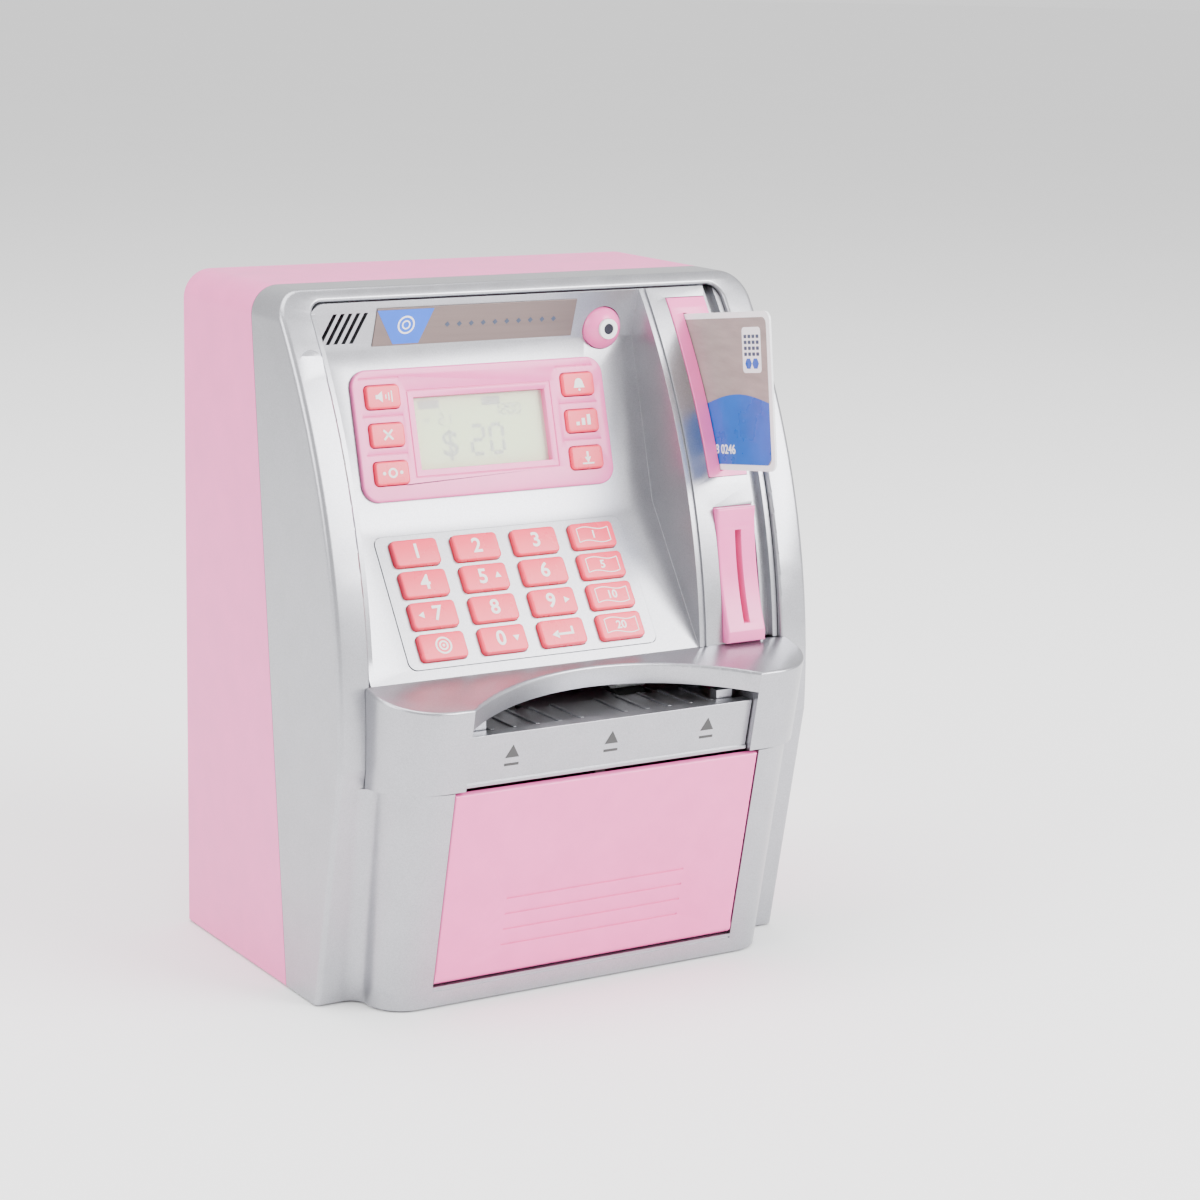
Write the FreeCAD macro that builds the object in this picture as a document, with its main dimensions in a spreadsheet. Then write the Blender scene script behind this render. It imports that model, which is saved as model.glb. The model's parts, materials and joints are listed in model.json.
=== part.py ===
"""Toy cash machine savings bank, as separate pieces that fit and move together.

Frame: +X to the right, +Y to the back, +Z up, in millimetres. The origin is at the
middle of the footprint, on the surface that the rubber feet stand on.
"""
import FreeCAD, Part
import math
import os

import Sketcher

DOC = FreeCAD.newDocument("toy_cash_machine")

# ---------------------------------------------------------------------------
# Driving sizes, in millimetres and degrees
# ---------------------------------------------------------------------------
SIZES = {
    # Overall form
    "overallWidth": 184.0,
    "overallHeight": 235.0,
    "overallDepth": 145.0,
    "footStand": 0.8,
    "shellWall": 2.4,
    "topRound": 10.0,
    "edgeRound": 2.0,
    "seamGap": 0.3,
    "pieceGap": 0.2,
    # Side profile: setbacks are measured from the hood's front edge
    "upperHeight": 123.3,
    "hoodReach": 23.9,
    "baseSetback": 40.6,
    "topSetback": 72.9,
    "waistDrop": 18.7,
    "waistStraight": 8.0,
    "seamBaseSetback": 63.2,
    "seamTopSetback": 89.9,
    "bandWidth": 11.5,
    "bandTop": 4.4,
    "openingRound": 5.0,
    # Recessed console: header, screen and keypad panels, and the slot column
    "panelWall": 2.8,
    "keypadTilt": 34.8,
    "keypadLength": 56.1,
    "screenTilt": 16.05,
    "screenLength": 57.9,
    "headerTilt": -13.0,
    "keypadSetback": 24.6,
    "columnWidth": 27.0,
    "channelWidth": 7.5,
    "channelDepth": 5.0,
    "beadHeight": 0.8,
    # Keypad
    "keyWidth": 17.1,
    "keyHeight": 9.4,
    "keyPitchAcross": 22.85,
    "keyPitchUp": 11.25,
    "keyCorner": 1.6,
    "keyProud": 1.9,
    "keyTravel": 1.2,
    "keyFlange": 1.0,
    "keyClearance": 0.25,
    "plateMargin": 4.8,
    "plateMarginUp": 2.2,
    "plateProud": 0.3,
    # Screen surround and its side keys
    "bezelWidth": 97.2,
    "bezelHeight": 44.3,
    "bezelCorner": 6.0,
    "bezelProud": 1.5,
    "bezelRise": 7.1,
    "bezelSkirt": 3.0,
    "skirtInset": 2.4,
    "windowWidth": 50.6,
    "windowHeight": 24.5,
    "sideKeyWidth": 12.7,
    "sideKeyHeight": 7.9,
    "sideKeyPitch": 12.75,
    "sideKeyInset": 4.5,
    "sideKeyProud": 1.3,
    # Header fittings
    "badgeWidth": 77.0,
    "badgeHeight": 13.2,
    "badgeThickness": 0.5,
    "badgeInset": 24.3,
    "cameraRadius": 7.3,
    "cameraHeight": 4.2,
    "cameraInset": 13.0,
    "grillePitch": 2.87,
    "grilleSlotWidth": 1.4,
    "speakerRadius": 12.5,
    # Card reader
    "cardLong": 85.6,
    "cardShort": 54.0,
    "cardThickness": 0.8,
    "cardTilt": 7.7,
    "cardSetback": 7.8,
    "cardRise": 90.2,
    "cardInset": 11.3,
    "cardPlay": 0.3,
    "cardTravel": 4.0,
    "cardBezelWidth": 15.6,
    "cardBezelLow": 56.8,
    "cardBezelHigh": 115.3,
    # Coin acceptor
    "coinSlotWidth": 2.6,
    "coinSlotHeight": 31.6,
    "coinSlotRise": 7.3,
    "coinInset": 8.5,
    "coinBezelLow": 0.8,
    "coinBezelHigh": 46.6,
    "coinBezelWidth": 15.6,
    "coinBezelProud": 3.0,
    # Lower block, hood and bill tray
    "frontSlope": 11.31,
    "blockHalfBottom": 76.5,
    "blockHalfTop": 80.0,
    "blockRoundBottom": 13.0,
    "blockRoundTop": 20.0,
    "blockBlend": 6.0,
    "hoodSeamDrop": 33.4,
    "hoodShelfDrop": 4.6,
    "hoodHalfWidth": 82.5,
    "earInner": 55.5,
    "archRise": 20.0,
    "archLip": 7.2,
    "trayTopDrop": 14.9,
    "trayRecess": 2.7,
    # Door
    "doorHalfWidth": 59.0,
    "doorThickness": 2.4,
    "doorGap": 0.4,
    "sillHeight": 8.1,
    "barrelRadius": 3.2,
    "hingePinRadius": 1.5,
    "pinClearance": 0.05,
    "jambThickness": 2.2,
    "latchTravel": 5.0,
    # Bill feeder
    "trackHalfWidth": 52.0,
    "feedSetback": 39.5,
    "feedRollerRadius": 6.0,
    "idlerRollerRadius": 5.0,
    "shaftRadius": 1.5,
    "toothModule": 0.7,
    "feedTeeth": 24,
    "pinionTeeth": 10,
    "motorRadius": 10.0,
    "motorLength": 25.0,
    # Battery compartment
    "cellRadius": 7.1,
    "cellLength": 49.0,
    "cellPitch": 14.8,
    "batteryRise": 45.0,
    "batteryDepth": 17.6,
    # Feet and screws
    "footRadius": 5.0,
    "footThickness": 2.0,
    "bossRadius": 4.0,
    "screwRadius": 1.5,
    "screwHeadRadius": 2.8,
    "screwHole": 1.7,
}

SHEET = DOC.addObject("Spreadsheet::Sheet", "Sizes")
for row, (alias, number) in enumerate(SIZES.items(), start=1):
    SHEET.set(f"A{row}", alias)
    SHEET.set(f"B{row}", str(number))
    SHEET.setAlias(f"B{row}", alias)
DOC.recompute()


class Size:
    """A size that knows both its number and the sheet expression behind it."""

    def __init__(self, number, text=None):
        self.number = float(number)
        self.text = text if text else f"({float(number)!r})"

    @property
    def bound(self):
        return "Sizes." in self.text

    def __add__(self, other):
        other = size(other)
        return Size(self.number + other.number, f"({self.text} + {other.text})")

    def __radd__(self, other):
        return size(other) + self

    def __sub__(self, other):
        other = size(other)
        return Size(self.number - other.number, f"({self.text} - {other.text})")

    def __rsub__(self, other):
        return size(other) - self

    def __mul__(self, other):
        other = size(other)
        return Size(self.number * other.number, f"({self.text} * {other.text})")

    def __rmul__(self, other):
        return size(other) * self

    def __truediv__(self, other):
        other = size(other)
        return Size(self.number / other.number, f"({self.text} / {other.text})")

    def __neg__(self):
        return Size(-self.number, f"(0 - {self.text})")


def size(value):
    return value if isinstance(value, Size) else Size(value)


def given(alias):
    return Size(SIZES[alias], f"Sizes.{alias}")


def root(value):
    return Size(math.sqrt(value.number), f"sqrt({value.text})")


def sine(angle):
    return Size(math.sin(math.radians(angle.number)), f"sin({angle.text} * 1 deg)")


def cosine(angle):
    return Size(math.cos(math.radians(angle.number)), f"cos({angle.text} * 1 deg)")


def bind(thing, name, value):
    """Set a property to a size, as an expression when it comes from the sheet."""
    value = size(value)
    if value.bound:
        thing.setExpression(name, value.text)


def bind_place(thing, name, spot, turn):
    """Give a Placement property its point, and its turn in degrees about +X."""
    x, y, z = (size(part) for part in spot)
    turn = size(turn)
    base = FreeCAD.Vector(x.number, y.number, z.number)
    setattr(thing, name, FreeCAD.Placement(base, FreeCAD.Rotation(FreeCAD.Vector(1, 0, 0), turn.number)))
    bind(thing, f"{name}.Base.x", x)
    bind(thing, f"{name}.Base.y", y)
    bind(thing, f"{name}.Base.z", z)
    bind(thing, f"{name}.Rotation.Angle", turn)


class Seat:
    """A tilted local frame: x stays to the right, y runs up the surface, z points out of it.

    The tilt is from the vertical, and is positive where the top leans back.
    """

    def __init__(self, x, y, z, tilt):
        self.spot = (size(x), size(y), size(z))
        self.tilt = size(tilt)

    @property
    def turn(self):
        return 90 - self.tilt

    def at(self, x=0, up=0, out=0):
        """The point at these local distances, in the part's own frame."""
        up = size(up)
        out = size(out)
        lean = sine(self.tilt)
        rise = cosine(self.tilt)
        return (
            self.spot[0] + x,
            self.spot[1] + up * lean - out * rise,
            self.spot[2] + up * rise + out * lean,
        )

    def moved(self, x=0, up=0, out=0):
        return Seat(*self.at(x, up, out), self.tilt)


# ---------------------------------------------------------------------------
# Outlines: a list of (a, b) or (a, b, radius) corners. The edge that leaves a corner
# with a radius is an arc: to the left of its chord if positive, to the right if not.
# ---------------------------------------------------------------------------
def rectangle(low_a, high_a, low_b, high_b):
    return [(low_a, low_b), (high_a, low_b), (high_a, high_b), (low_a, high_b)]


def rounded(low_a, high_a, low_b, high_b, corner):
    low_a, high_a, low_b, high_b, corner = (size(v) for v in (low_a, high_a, low_b, high_b, corner))
    return [
        (low_a + corner, low_b), (high_a - corner, low_b, corner),
        (high_a, low_b + corner), (high_a, high_b - corner, corner),
        (high_a - corner, high_b), (low_a + corner, high_b, corner),
        (low_a, high_b - corner), (low_a, low_b + corner, corner),
    ]


class Round:
    """A circle outline."""

    def __init__(self, a, b, radius):
        self.a = size(a)
        self.b = size(b)
        self.radius = size(radius)


def arc_curve(start, end, radius):
    """The arc from start to end, counter-clockwise for a positive radius."""
    chord = end - start
    half = chord.Length / 2
    reach = math.sqrt(max(radius * radius - half * half, 0.0))
    left = FreeCAD.Vector(-chord.y, chord.x, 0).normalize()
    centre = (start + end) / 2 + left * (reach if radius > 0 else -reach)
    circle = Part.Circle(centre, FreeCAD.Vector(0, 0, 1), abs(radius))
    first, last = (start, end) if radius > 0 else (end, start)
    return Part.ArcOfCircle(circle, circle.parameter(first), circle.parameter(last))


def fill_sketch(sketch, outline):
    """Draw an outline in a sketch and tie every corner and radius to the sheet."""
    curves, rules = draw_circle(outline) if isinstance(outline, Round) else draw_corners(outline)
    sketch.addGeometry(curves, False)
    sketch.addConstraint([Sketcher.Constraint(*rule[:-1]) for rule in rules])
    for index, rule in enumerate(rules):
        if rule[-1] is not None:
            bind(sketch, f"Constraints[{index}]", rule[-1])


def draw_circle(outline):
    centre = FreeCAD.Vector(outline.a.number, outline.b.number, 0)
    curves = [Part.Circle(centre, FreeCAD.Vector(0, 0, 1), outline.radius.number)]
    rules = [
        fixed("DistanceX", 0, 3, outline.a), fixed("DistanceY", 0, 3, outline.b),
        ("Radius", 0, outline.radius.number, outline.radius),
    ]
    return curves, rules


def draw_corners(outline):
    curves = []
    rules = []
    corners = [tuple(size(v) for v in corner) for corner in outline]
    points = [FreeCAD.Vector(corner[0].number, corner[1].number, 0) for corner in corners]
    joints = []
    for index, corner in enumerate(corners):
        start = points[index]
        end = points[(index + 1) % len(points)]
        if len(corner) == 2:
            curves.append(Part.LineSegment(start, end))
            joints.append((1, 2))
        else:
            curves.append(arc_curve(start, end, corner[2].number))
            joints.append((1, 2) if corner[2].number > 0 else (2, 1))
    for index in range(len(corners)):
        after = (index + 1) % len(corners)
        meet = (index, joints[index][1], after, joints[after][0])
        rules.append(("Coincident", *meet, None))
    for index, corner in enumerate(corners):
        rules.append(fixed("DistanceX", index, joints[index][0], corner[0]))
        rules.append(fixed("DistanceY", index, joints[index][0], corner[1]))
        if len(corner) == 3:
            radius = corner[2] if corner[2].number > 0 else -corner[2]
            rules.append(("Radius", index, radius.number, radius))
    return curves, rules


def fixed(kind, index, end, value):
    return (kind, -1, 1, index, end, value.number, value)


PLANES = {"top": "XY_Plane", "front": "XZ_Plane", "side": "YZ_Plane"}


class Piece:
    """A PartDesign body made of pads and pockets between two levels of a plane."""

    def __init__(self, label, seat=None):
        self.body = DOC.addObject("PartDesign::Body", label)
        self.body.Label = label
        if seat:
            bind_place(self.body, "Placement", seat.spot, seat.turn)

    def sketch(self, plane, outline, level, seat=None):
        origin = next(
            item for item in self.body.Origin.OriginFeatures if item.Role == PLANES[plane]
        )
        sketch = self.body.newObject("Sketcher::SketchObject", f"{self.body.Label}_outline")
        sketch.AttachmentSupport = (origin, "")
        sketch.MapMode = "FlatFace"
        if seat:
            bind_place(sketch, "AttachmentOffset", seat.at(out=level), seat.turn)
        else:
            bind_place(sketch, "AttachmentOffset", (0, 0, level), 0)
        fill_sketch(sketch, outline)
        return sketch

    def swell(self, kind, plane, outline, low, high, seat):
        low = size(low)
        high = size(high)
        pad = kind == "PartDesign::Pad"
        if plane == "front":
            level = -high if pad else -low
        else:
            level = low if pad else high
        sketch = self.sketch(plane, outline, level, seat)
        feature = self.body.newObject(kind, f"{self.body.Label}_{'pad' if pad else 'pocket'}")
        feature.Profile = sketch
        length = high - low
        feature.Length = length.number
        bind(feature, "Length", length)
        self.body.Tip = feature
        return feature

    def pad(self, plane, outline, low, high, seat=None):
        return self.swell("PartDesign::Pad", plane, outline, low, high, seat)

    def cut(self, plane, outline, low, high, seat=None):
        return self.swell("PartDesign::Pocket", plane, outline, low, high, seat)

    def loft(self, kind, sections):
        """Join outlines drawn at two levels of the top plane."""
        sketches = [self.sketch("top", outline, level) for level, outline in sections]
        feature = self.body.newObject(kind, f"{self.body.Label}_loft")
        feature.Profile = sketches[0]
        feature.Sections = sketches[1:]
        feature.Ruled = True
        self.body.Tip = feature
        return feature

    def soften(self, wanted, radius, kind="PartDesign::Fillet"):
        """Round or chamfer the edges that the test picks from the shape so far."""
        DOC.recompute()
        base = self.body.Tip
        names = []
        for index, edge in enumerate(base.Shape.Edges, start=1):
            if wanted(edge):
                names.append(f"Edge{index}")
        if not names:
            raise RuntimeError(f"{self.body.Label}: no edge to soften")
        feature = self.body.newObject(kind, f"{self.body.Label}_soft")
        feature.Base = (base, names)
        setting = "Radius" if kind == "PartDesign::Fillet" else "Size"
        setattr(feature, setting, size(radius).number)
        bind(feature, setting, radius)
        self.body.Tip = feature
        return feature


class Group:
    """A piece fused from Part primitives, with others cut away from it."""

    def __init__(self, label):
        self.label = label
        self.solids = []
        self.holes = []

    def place(self, thing, spot, turn, seat):
        if seat:
            bind_place(thing, "Placement", seat.at(*spot), seat.turn + turn)
        else:
            bind_place(thing, "Placement", spot, turn)

    def box(self, x, y, z, seat=None, hole=False):
        """A block between two values on each axis, in the seat's frame if there is one."""
        low = [size(pair[0]) for pair in (x, y, z)]
        high = [size(pair[1]) for pair in (x, y, z)]
        thing = DOC.addObject("Part::Box", f"{self.label}_block")
        for name, start, end in zip(("Length", "Width", "Height"), low, high):
            setattr(thing, name, (end - start).number)
            bind(thing, name, end - start)
        self.place(thing, low, 0, seat)
        (self.holes if hole else self.solids).append(thing)

    def rod(self, axis, a, b, radius, low, high, seat=None, hole=False):
        """A round bar along an axis, at a and b on the other two, between two levels."""
        low = size(low)
        high = size(high)
        thing = DOC.addObject("Part::Cylinder", f"{self.label}_rod")
        thing.Radius = size(radius).number
        bind(thing, "Radius", radius)
        thing.Height = (high - low).number
        bind(thing, "Height", high - low)
        if axis == "x":
            x, y, z = (size(v) for v in (low, a, b))
            base = FreeCAD.Vector(x.number, y.number, z.number)
            thing.Placement = FreeCAD.Placement(base, FreeCAD.Rotation(FreeCAD.Vector(0, 1, 0), 90))
            bind(thing, "Placement.Base.x", x)
            bind(thing, "Placement.Base.y", y)
            bind(thing, "Placement.Base.z", z)
        elif axis == "y":
            self.place(thing, (a, high, b), 90, seat)
        else:
            self.place(thing, (a, b, low), 0, seat)
        (self.holes if hole else self.solids).append(thing)

    def add(self, thing, hole=False):
        (self.holes if hole else self.solids).append(thing)

    def finish(self):
        """Fuse the solids, cut the holes and give the result the piece's name."""
        result = self.joined(self.solids, "body")
        if self.holes:
            cut = DOC.addObject("Part::Cut", f"{self.label}_cut")
            cut.Base = result
            cut.Tool = self.joined(self.holes, "holes")
            result = cut
        result.Label = self.label
        return result

    def joined(self, things, name):
        if len(things) == 1:
            return things[0]
        fused = DOC.addObject("Part::MultiFuse", f"{self.label}_{name}")
        fused.Shapes = things
        return fused


# ---------------------------------------------------------------------------
# Places worked out from the driving sizes
# ---------------------------------------------------------------------------
HALF = given("overallWidth") / 2
HEIGHT = given("overallHeight")
FRONT = -(given("overallDepth") / 2)
REAR = given("overallDepth") / 2
FLOOR = given("footStand")
WALL = given("shellWall")
GAP = given("pieceGap")
LEDGE = HEIGHT - given("upperHeight")
WAIST = LEDGE - given("waistDrop")
BEND = WAIST - given("waistStraight")
WAIST_Y = FRONT + given("hoodReach")
TOP_LEAN = given("topSetback") - given("hoodReach")
PROFILE_RADIUS = ((HEIGHT - WAIST) * (HEIGHT - WAIST) + TOP_LEAN * TOP_LEAN) / (TOP_LEAN * 2)
OPENING = HALF - given("bandWidth")
OPENING_TOP = HEIGHT - given("bandTop")
COLUMN_RIGHT = OPENING - given("channelWidth")
COLUMN_LEFT = COLUMN_RIGHT - given("columnWidth")
PANEL_MIDDLE = (COLUMN_LEFT - OPENING) / 2
CONSOLE_LOW = LEDGE + given("seamGap")
CONSOLE_HIGH = OPENING_TOP - GAP
SHELF_FRONT = LEDGE - given("hoodShelfDrop")
HOOD_SEAM = LEDGE - given("hoodSeamDrop")
TRAY_TOP = LEDGE - given("trayTopDrop")
SLOPE = sine(given("frontSlope")) / cosine(given("frontSlope"))
SCREW_X = HALF - 7.2
SCREW_Z = [FLOOR + 13, LEDGE + 8, HEIGHT - 22]
BOSS_FLOOR = 12
FEET_X = HALF - 18

KEYPAD = Seat(PANEL_MIDDLE, FRONT + given("keypadSetback"), CONSOLE_LOW, given("keypadTilt"))
SCREEN = Seat(*KEYPAD.at(up=given("keypadLength")), given("screenTilt"))
HEADER = Seat(*SCREEN.at(up=given("screenLength")), given("headerTilt"))
HEADER_LENGTH = (CONSOLE_HIGH - HEADER.spot[2]) / cosine(given("headerTilt"))
SHELF = Seat(0, FRONT, SHELF_FRONT, 90 - given("frontSlope"))
CARD = Seat(
    COLUMN_RIGHT - given("cardInset"), FRONT + given("cardSetback"), LEDGE + given("cardRise"),
    given("cardTilt"),
)
COIN_X = COLUMN_RIGHT - given("coinInset")
COIN_LOW = LEDGE + given("coinSlotRise")
COIN_HIGH = COIN_LOW + given("coinSlotHeight")
CARD_BEZEL = (LEDGE + given("cardBezelLow"), LEDGE + given("cardBezelHigh"))
COIN_BEZEL = (LEDGE + given("coinBezelLow"), LEDGE + given("coinBezelHigh"))
BATTERY_Z = LEDGE + given("batteryRise")
BATTERY_HALF_X = given("cellPitch") + given("cellRadius") + 1.1
BATTERY_HALF_Z = given("cellLength") / 2 + 3.6


def profile(level, inset=0):
    """Where the curved front is at a height, set in along its radius."""
    radius = PROFILE_RADIUS - inset
    rise = level - WAIST
    return WAIST_Y + PROFILE_RADIUS - root(radius * radius - rise * rise)


def frame_front(level):
    """The front of the outer frame: straight below the bend and curved above it."""
    if level.number >= BEND.number:
        return profile(level)
    base = FRONT + given("baseSetback")
    return base + (profile(BEND) - base) * (level - FLOOR) / (BEND - FLOOR)


def seam(level):
    """The slanted parting line between the front frame and the rear casing."""
    level = size(level)
    base = given("seamBaseSetback")
    return FRONT + base + (given("seamTopSetback") - base) * level / HEIGHT


def block_plane(level):
    """The sloping front of the lower block and of the hood's ears."""
    return FRONT + SLOPE * (SHELF_FRONT - level)


def strip(low, high, outer, inner):
    """A side outline between two copies of the curved front, set in by two amounts."""
    return [
        (profile(low, outer), low, -(PROFILE_RADIUS - outer)),
        (profile(high, outer), high),
        (profile(high, inner), high, PROFILE_RADIUS - inner),
        (profile(low, inner), low),
    ]


CHUTE_FRONT = profile(COIN_BEZEL[1]) + 4.5
LEVER_PIVOT = (CHUTE_FRONT + given("coinSlotHeight") + 9, COIN_LOW + 4)
HINGE_Z = given("sillHeight") + given("doorGap") + given("barrelRadius")
HINGE_Y = block_plane(HINGE_Z) + given("barrelRadius") / cosine(given("frontSlope"))
DOOR = Seat(0, HINGE_Y, HINGE_Z, -given("frontSlope"))
DOOR_TOP = (HOOD_SEAM - HINGE_Z) / cosine(given("frontSlope")) - given("doorGap")
FEED_Y = FRONT + given("feedSetback")
FEED_Z = TRAY_TOP - given("feedRollerRadius")
IDLER_Z = TRAY_TOP + 0.3 + given("idlerRollerRadius")
GEAR_REACH = given("toothModule") * (given("feedTeeth") + given("pinionTeeth")) / 2
MOTOR_Y = FEED_Y + GEAR_REACH
GEAR_X = -(given("trackHalfWidth") + 5)


def near(value, wanted, slack=0.05):
    return abs(value - size(wanted).number) < slack


def ends(edge):
    return [vertex.Point for vertex in edge.Vertexes]


def along(edge, axis):
    """Whether an edge is a straight line along x, y or z."""
    points = ends(edge)
    if len(points) < 2 or edge.Curve.TypeId != "Part::GeomLine":
        return False
    step = points[1] - points[0]
    return abs(abs(getattr(step, axis)) - step.Length) < 0.01 * step.Length


# ---------------------------------------------------------------------------
# Casing
# ---------------------------------------------------------------------------
def top_long_edge(edge, half, level):
    middle = edge.CenterOfMass
    return along(edge, "y") and near(abs(middle.x), half) and near(middle.z, level)


def casing_section(inset):
    """The casing seen from the front: square below, with rounded top corners."""
    half = HALF - inset
    top = HEIGHT - inset
    corner = given("topRound") - inset
    return [
        (-half, FLOOR + inset), (half, FLOOR + inset), (half, top - corner, corner),
        (half - corner, top), (corner - half, top, corner), (-half, top - corner),
    ]


def rear_casing():
    piece = Piece("rear_casing")
    piece.pad("front", casing_section(size(0)), FRONT + given("seamBaseSetback"), REAR)
    piece.soften(
        lambda edge: all(near(point.y, REAR) for point in ends(edge)) and edge.CenterOfMass.z > 5,
        given("edgeRound"),
    )
    piece.cut("front", casing_section(WALL), FRONT, REAR - WALL)
    parting = given("seamGap")
    ahead = [
        (FRONT, size(-5)), (seam(-5) + parting, size(-5)),
        (seam(HEIGHT + 5) + parting, HEIGHT + 5), (FRONT, HEIGHT + 5),
    ]
    piece.cut("side", ahead, -HALF - 1, HALF + 1)
    for level in SCREW_Z:
        for side in (-1, 1):
            across = SCREW_X * side
            piece.pad("front", Round(across, level, given("bossRadius")), seam(level) + 0.6, REAR - 1)
            head = Round(across, level, given("screwHeadRadius") + 0.4)
            piece.cut("front", head, seam(level) + BOSS_FLOOR, REAR + 1)
            piece.cut("front", Round(across, level, given("screwHole")), seam(level), REAR)
    window = rectangle(
        GAP - BATTERY_HALF_X, BATTERY_HALF_X - GAP,
        BATTERY_Z - BATTERY_HALF_Z, BATTERY_Z + BATTERY_HALF_Z,
    )
    piece.cut("front", window, REAR - WALL - 1, REAR + 1)
    for side in (-1, 1):
        pad = Round(FEET_X * side, REAR - 13, given("footRadius") + 0.1)
        piece.cut("top", pad, FLOOR - 1, given("footThickness"))
    return piece.body


def block_section(level, half, corner, inset):
    """The lower block in plan at one height, set in for the inner faces."""
    face = block_plane(level) + inset
    back = FRONT + given("seamBaseSetback") - 4
    return [
        (inset - half, back), (inset - half, face + corner - inset, corner - inset),
        (corner - half, face), (half - corner, face, corner - inset),
        (half - inset, face + corner - inset), (half - inset, back),
    ]


def front_frame():
    piece = Piece("front_frame")
    shell = [
        (FRONT + given("baseSetback"), FLOOR), (profile(BEND), BEND, -PROFILE_RADIUS),
        (profile(HEIGHT), HEIGHT), (seam(HEIGHT), HEIGHT), (seam(FLOOR), FLOOR),
    ]
    piece.pad("side", shell, -HALF, HALF)
    piece.soften(lambda edge: top_long_edge(edge, HALF, HEIGHT), given("topRound"))
    piece.soften(outer_front_edge, given("edgeRound"))
    low = (FLOOR, given("blockHalfBottom"), given("blockRoundBottom"))
    high = (HOOD_SEAM, given("blockHalfTop"), given("blockRoundTop"))
    piece.loft("PartDesign::AdditiveLoft", [(s[0], block_section(*s, size(0))) for s in (low, high)])
    piece.soften(block_side_edge, given("blockBlend"))
    corner = given("topRound")
    for narrower, lower in ((WALL, corner), (corner * 0.46, corner * 0.46), (corner, WALL)):
        roof = HEIGHT - lower
        inner = [
            (FRONT + given("baseSetback") + WALL, FLOOR + WALL),
            (profile(BEND, WALL), BEND, WALL - PROFILE_RADIUS),
            (profile(roof, WALL), roof), (seam(HEIGHT) + 5, roof), (seam(FLOOR) + 5, FLOOR + WALL),
        ]
        piece.cut("side", inner, narrower - HALF, HALF - narrower)
    low = (FLOOR + WALL, given("blockHalfBottom"), given("blockRoundBottom"))
    high = (HOOD_SEAM + 1, given("blockHalfTop"), given("blockRoundTop"))
    piece.loft("PartDesign::SubtractiveLoft", [(s[0], block_section(*s, WALL)) for s in (low, high)])
    corner = given("openingRound")
    opening = [
        (-OPENING, LEDGE), (OPENING, LEDGE), (OPENING, OPENING_TOP - corner, corner),
        (OPENING - corner, OPENING_TOP), (corner - OPENING, OPENING_TOP, corner),
        (-OPENING, OPENING_TOP - corner),
    ]
    piece.cut("front", opening, FRONT, seam(HEIGHT))
    piece.soften(opening_front_edge, 1.0)
    aperture = given("trackHalfWidth") + 2.5
    piece.cut("front", rectangle(-aperture, aperture, HOOD_SEAM - 1, LEDGE - 6), FRONT, FRONT + 30)
    door_half = given("doorHalfWidth") + given("doorGap")
    doorway = rectangle(-door_half, door_half, given("sillHeight"), HOOD_SEAM + 1)
    piece.cut("front", doorway, FRONT, block_plane(FLOOR) + 8)
    jamb = [
        (block_plane(FLOOR) + WALL / 2, FLOOR + 1), (block_plane(HOOD_SEAM) + WALL / 2, HOOD_SEAM),
        (block_plane(HOOD_SEAM) + 12, HOOD_SEAM), (block_plane(FLOOR) + 12, FLOOR + 1),
    ]
    jamb_out = door_half + given("jambThickness")
    pin_hole = Round(HINGE_Y, HINGE_Z, given("hingePinRadius") + given("pinClearance"))
    for start, end in ((door_half, jamb_out), (-jamb_out, -door_half)):
        piece.pad("side", jamb, start, end)
        piece.cut("side", pin_hole, start, end)
    groove_z = given("sillHeight") - 1.6
    groove = [
        (block_plane(groove_z) - 1, groove_z), (block_plane(groove_z) + 0.5, groove_z),
        (block_plane(groove_z) + 0.5, groove_z + 0.5), (block_plane(groove_z) - 1, groove_z + 0.5),
    ]
    piece.cut("side", groove, -door_half, door_half)
    for level in SCREW_Z:
        for side in (-1, 1):
            spot = Round(SCREW_X * side, level, given("bossRadius"))
            piece.pad("front", spot, frame_front(level) + WALL / 2, seam(level) - 0.3)
            pilot = Round(SCREW_X * side, level, given("screwRadius"))
            piece.cut("front", pilot, seam(level) - BOSS_FLOOR, seam(level))
    for side in (-1, 1):
        pad = Round((FEET_X - 8) * side, FRONT + given("baseSetback") + 8, given("footRadius") + 0.1)
        piece.cut("top", pad, FLOOR - 1, given("footThickness"))
    return piece.body


def outer_front_edge(edge):
    """The edges of the frame's front face down its sides and across its top."""
    points = ends(edge)
    if len(points) < 2:
        return False
    on_face = all(near(point.y, frame_front(size(point.z)), 0.02) for point in points)
    return on_face and max(point.z for point in points) > 20


def block_side_edge(edge):
    """The inner corners where the lower block's sides meet the frame."""
    points = ends(edge)
    if len(points) < 2 or abs(points[0].z - points[1].z) < 50:
        return False
    low = given("blockHalfBottom").number - 1
    high = given("blockHalfTop").number + 1
    on_face = all(near(point.y, frame_front(size(point.z)), 0.05) for point in points)
    return on_face and all(low < abs(point.x) < high for point in points)


def opening_front_edge(edge):
    points = ends(edge)
    if len(points) < 2 or min(point.z for point in points) < LEDGE.number - 0.1:
        return False
    on_face = all(near(point.y, profile(size(point.z)), 0.02) for point in points)
    inside = all(abs(point.x) < OPENING.number + 0.1 for point in points)
    across_sill = all(near(point.z, LEDGE) for point in points)
    return on_face and inside and not across_sill


# ---------------------------------------------------------------------------
# Console
# ---------------------------------------------------------------------------
def key_centres():
    """The keypad's four columns and rows, in the keypad seat's frame."""
    across = given("keyPitchAcross")
    pitch = given("keyPitchUp")
    middle = given("keypadLength") - given("plateMargin") - plate_half_height()
    for row in range(4):
        for column in range(4):
            yield across * (column - 1.5), middle + pitch * (1.5 - row)


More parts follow.
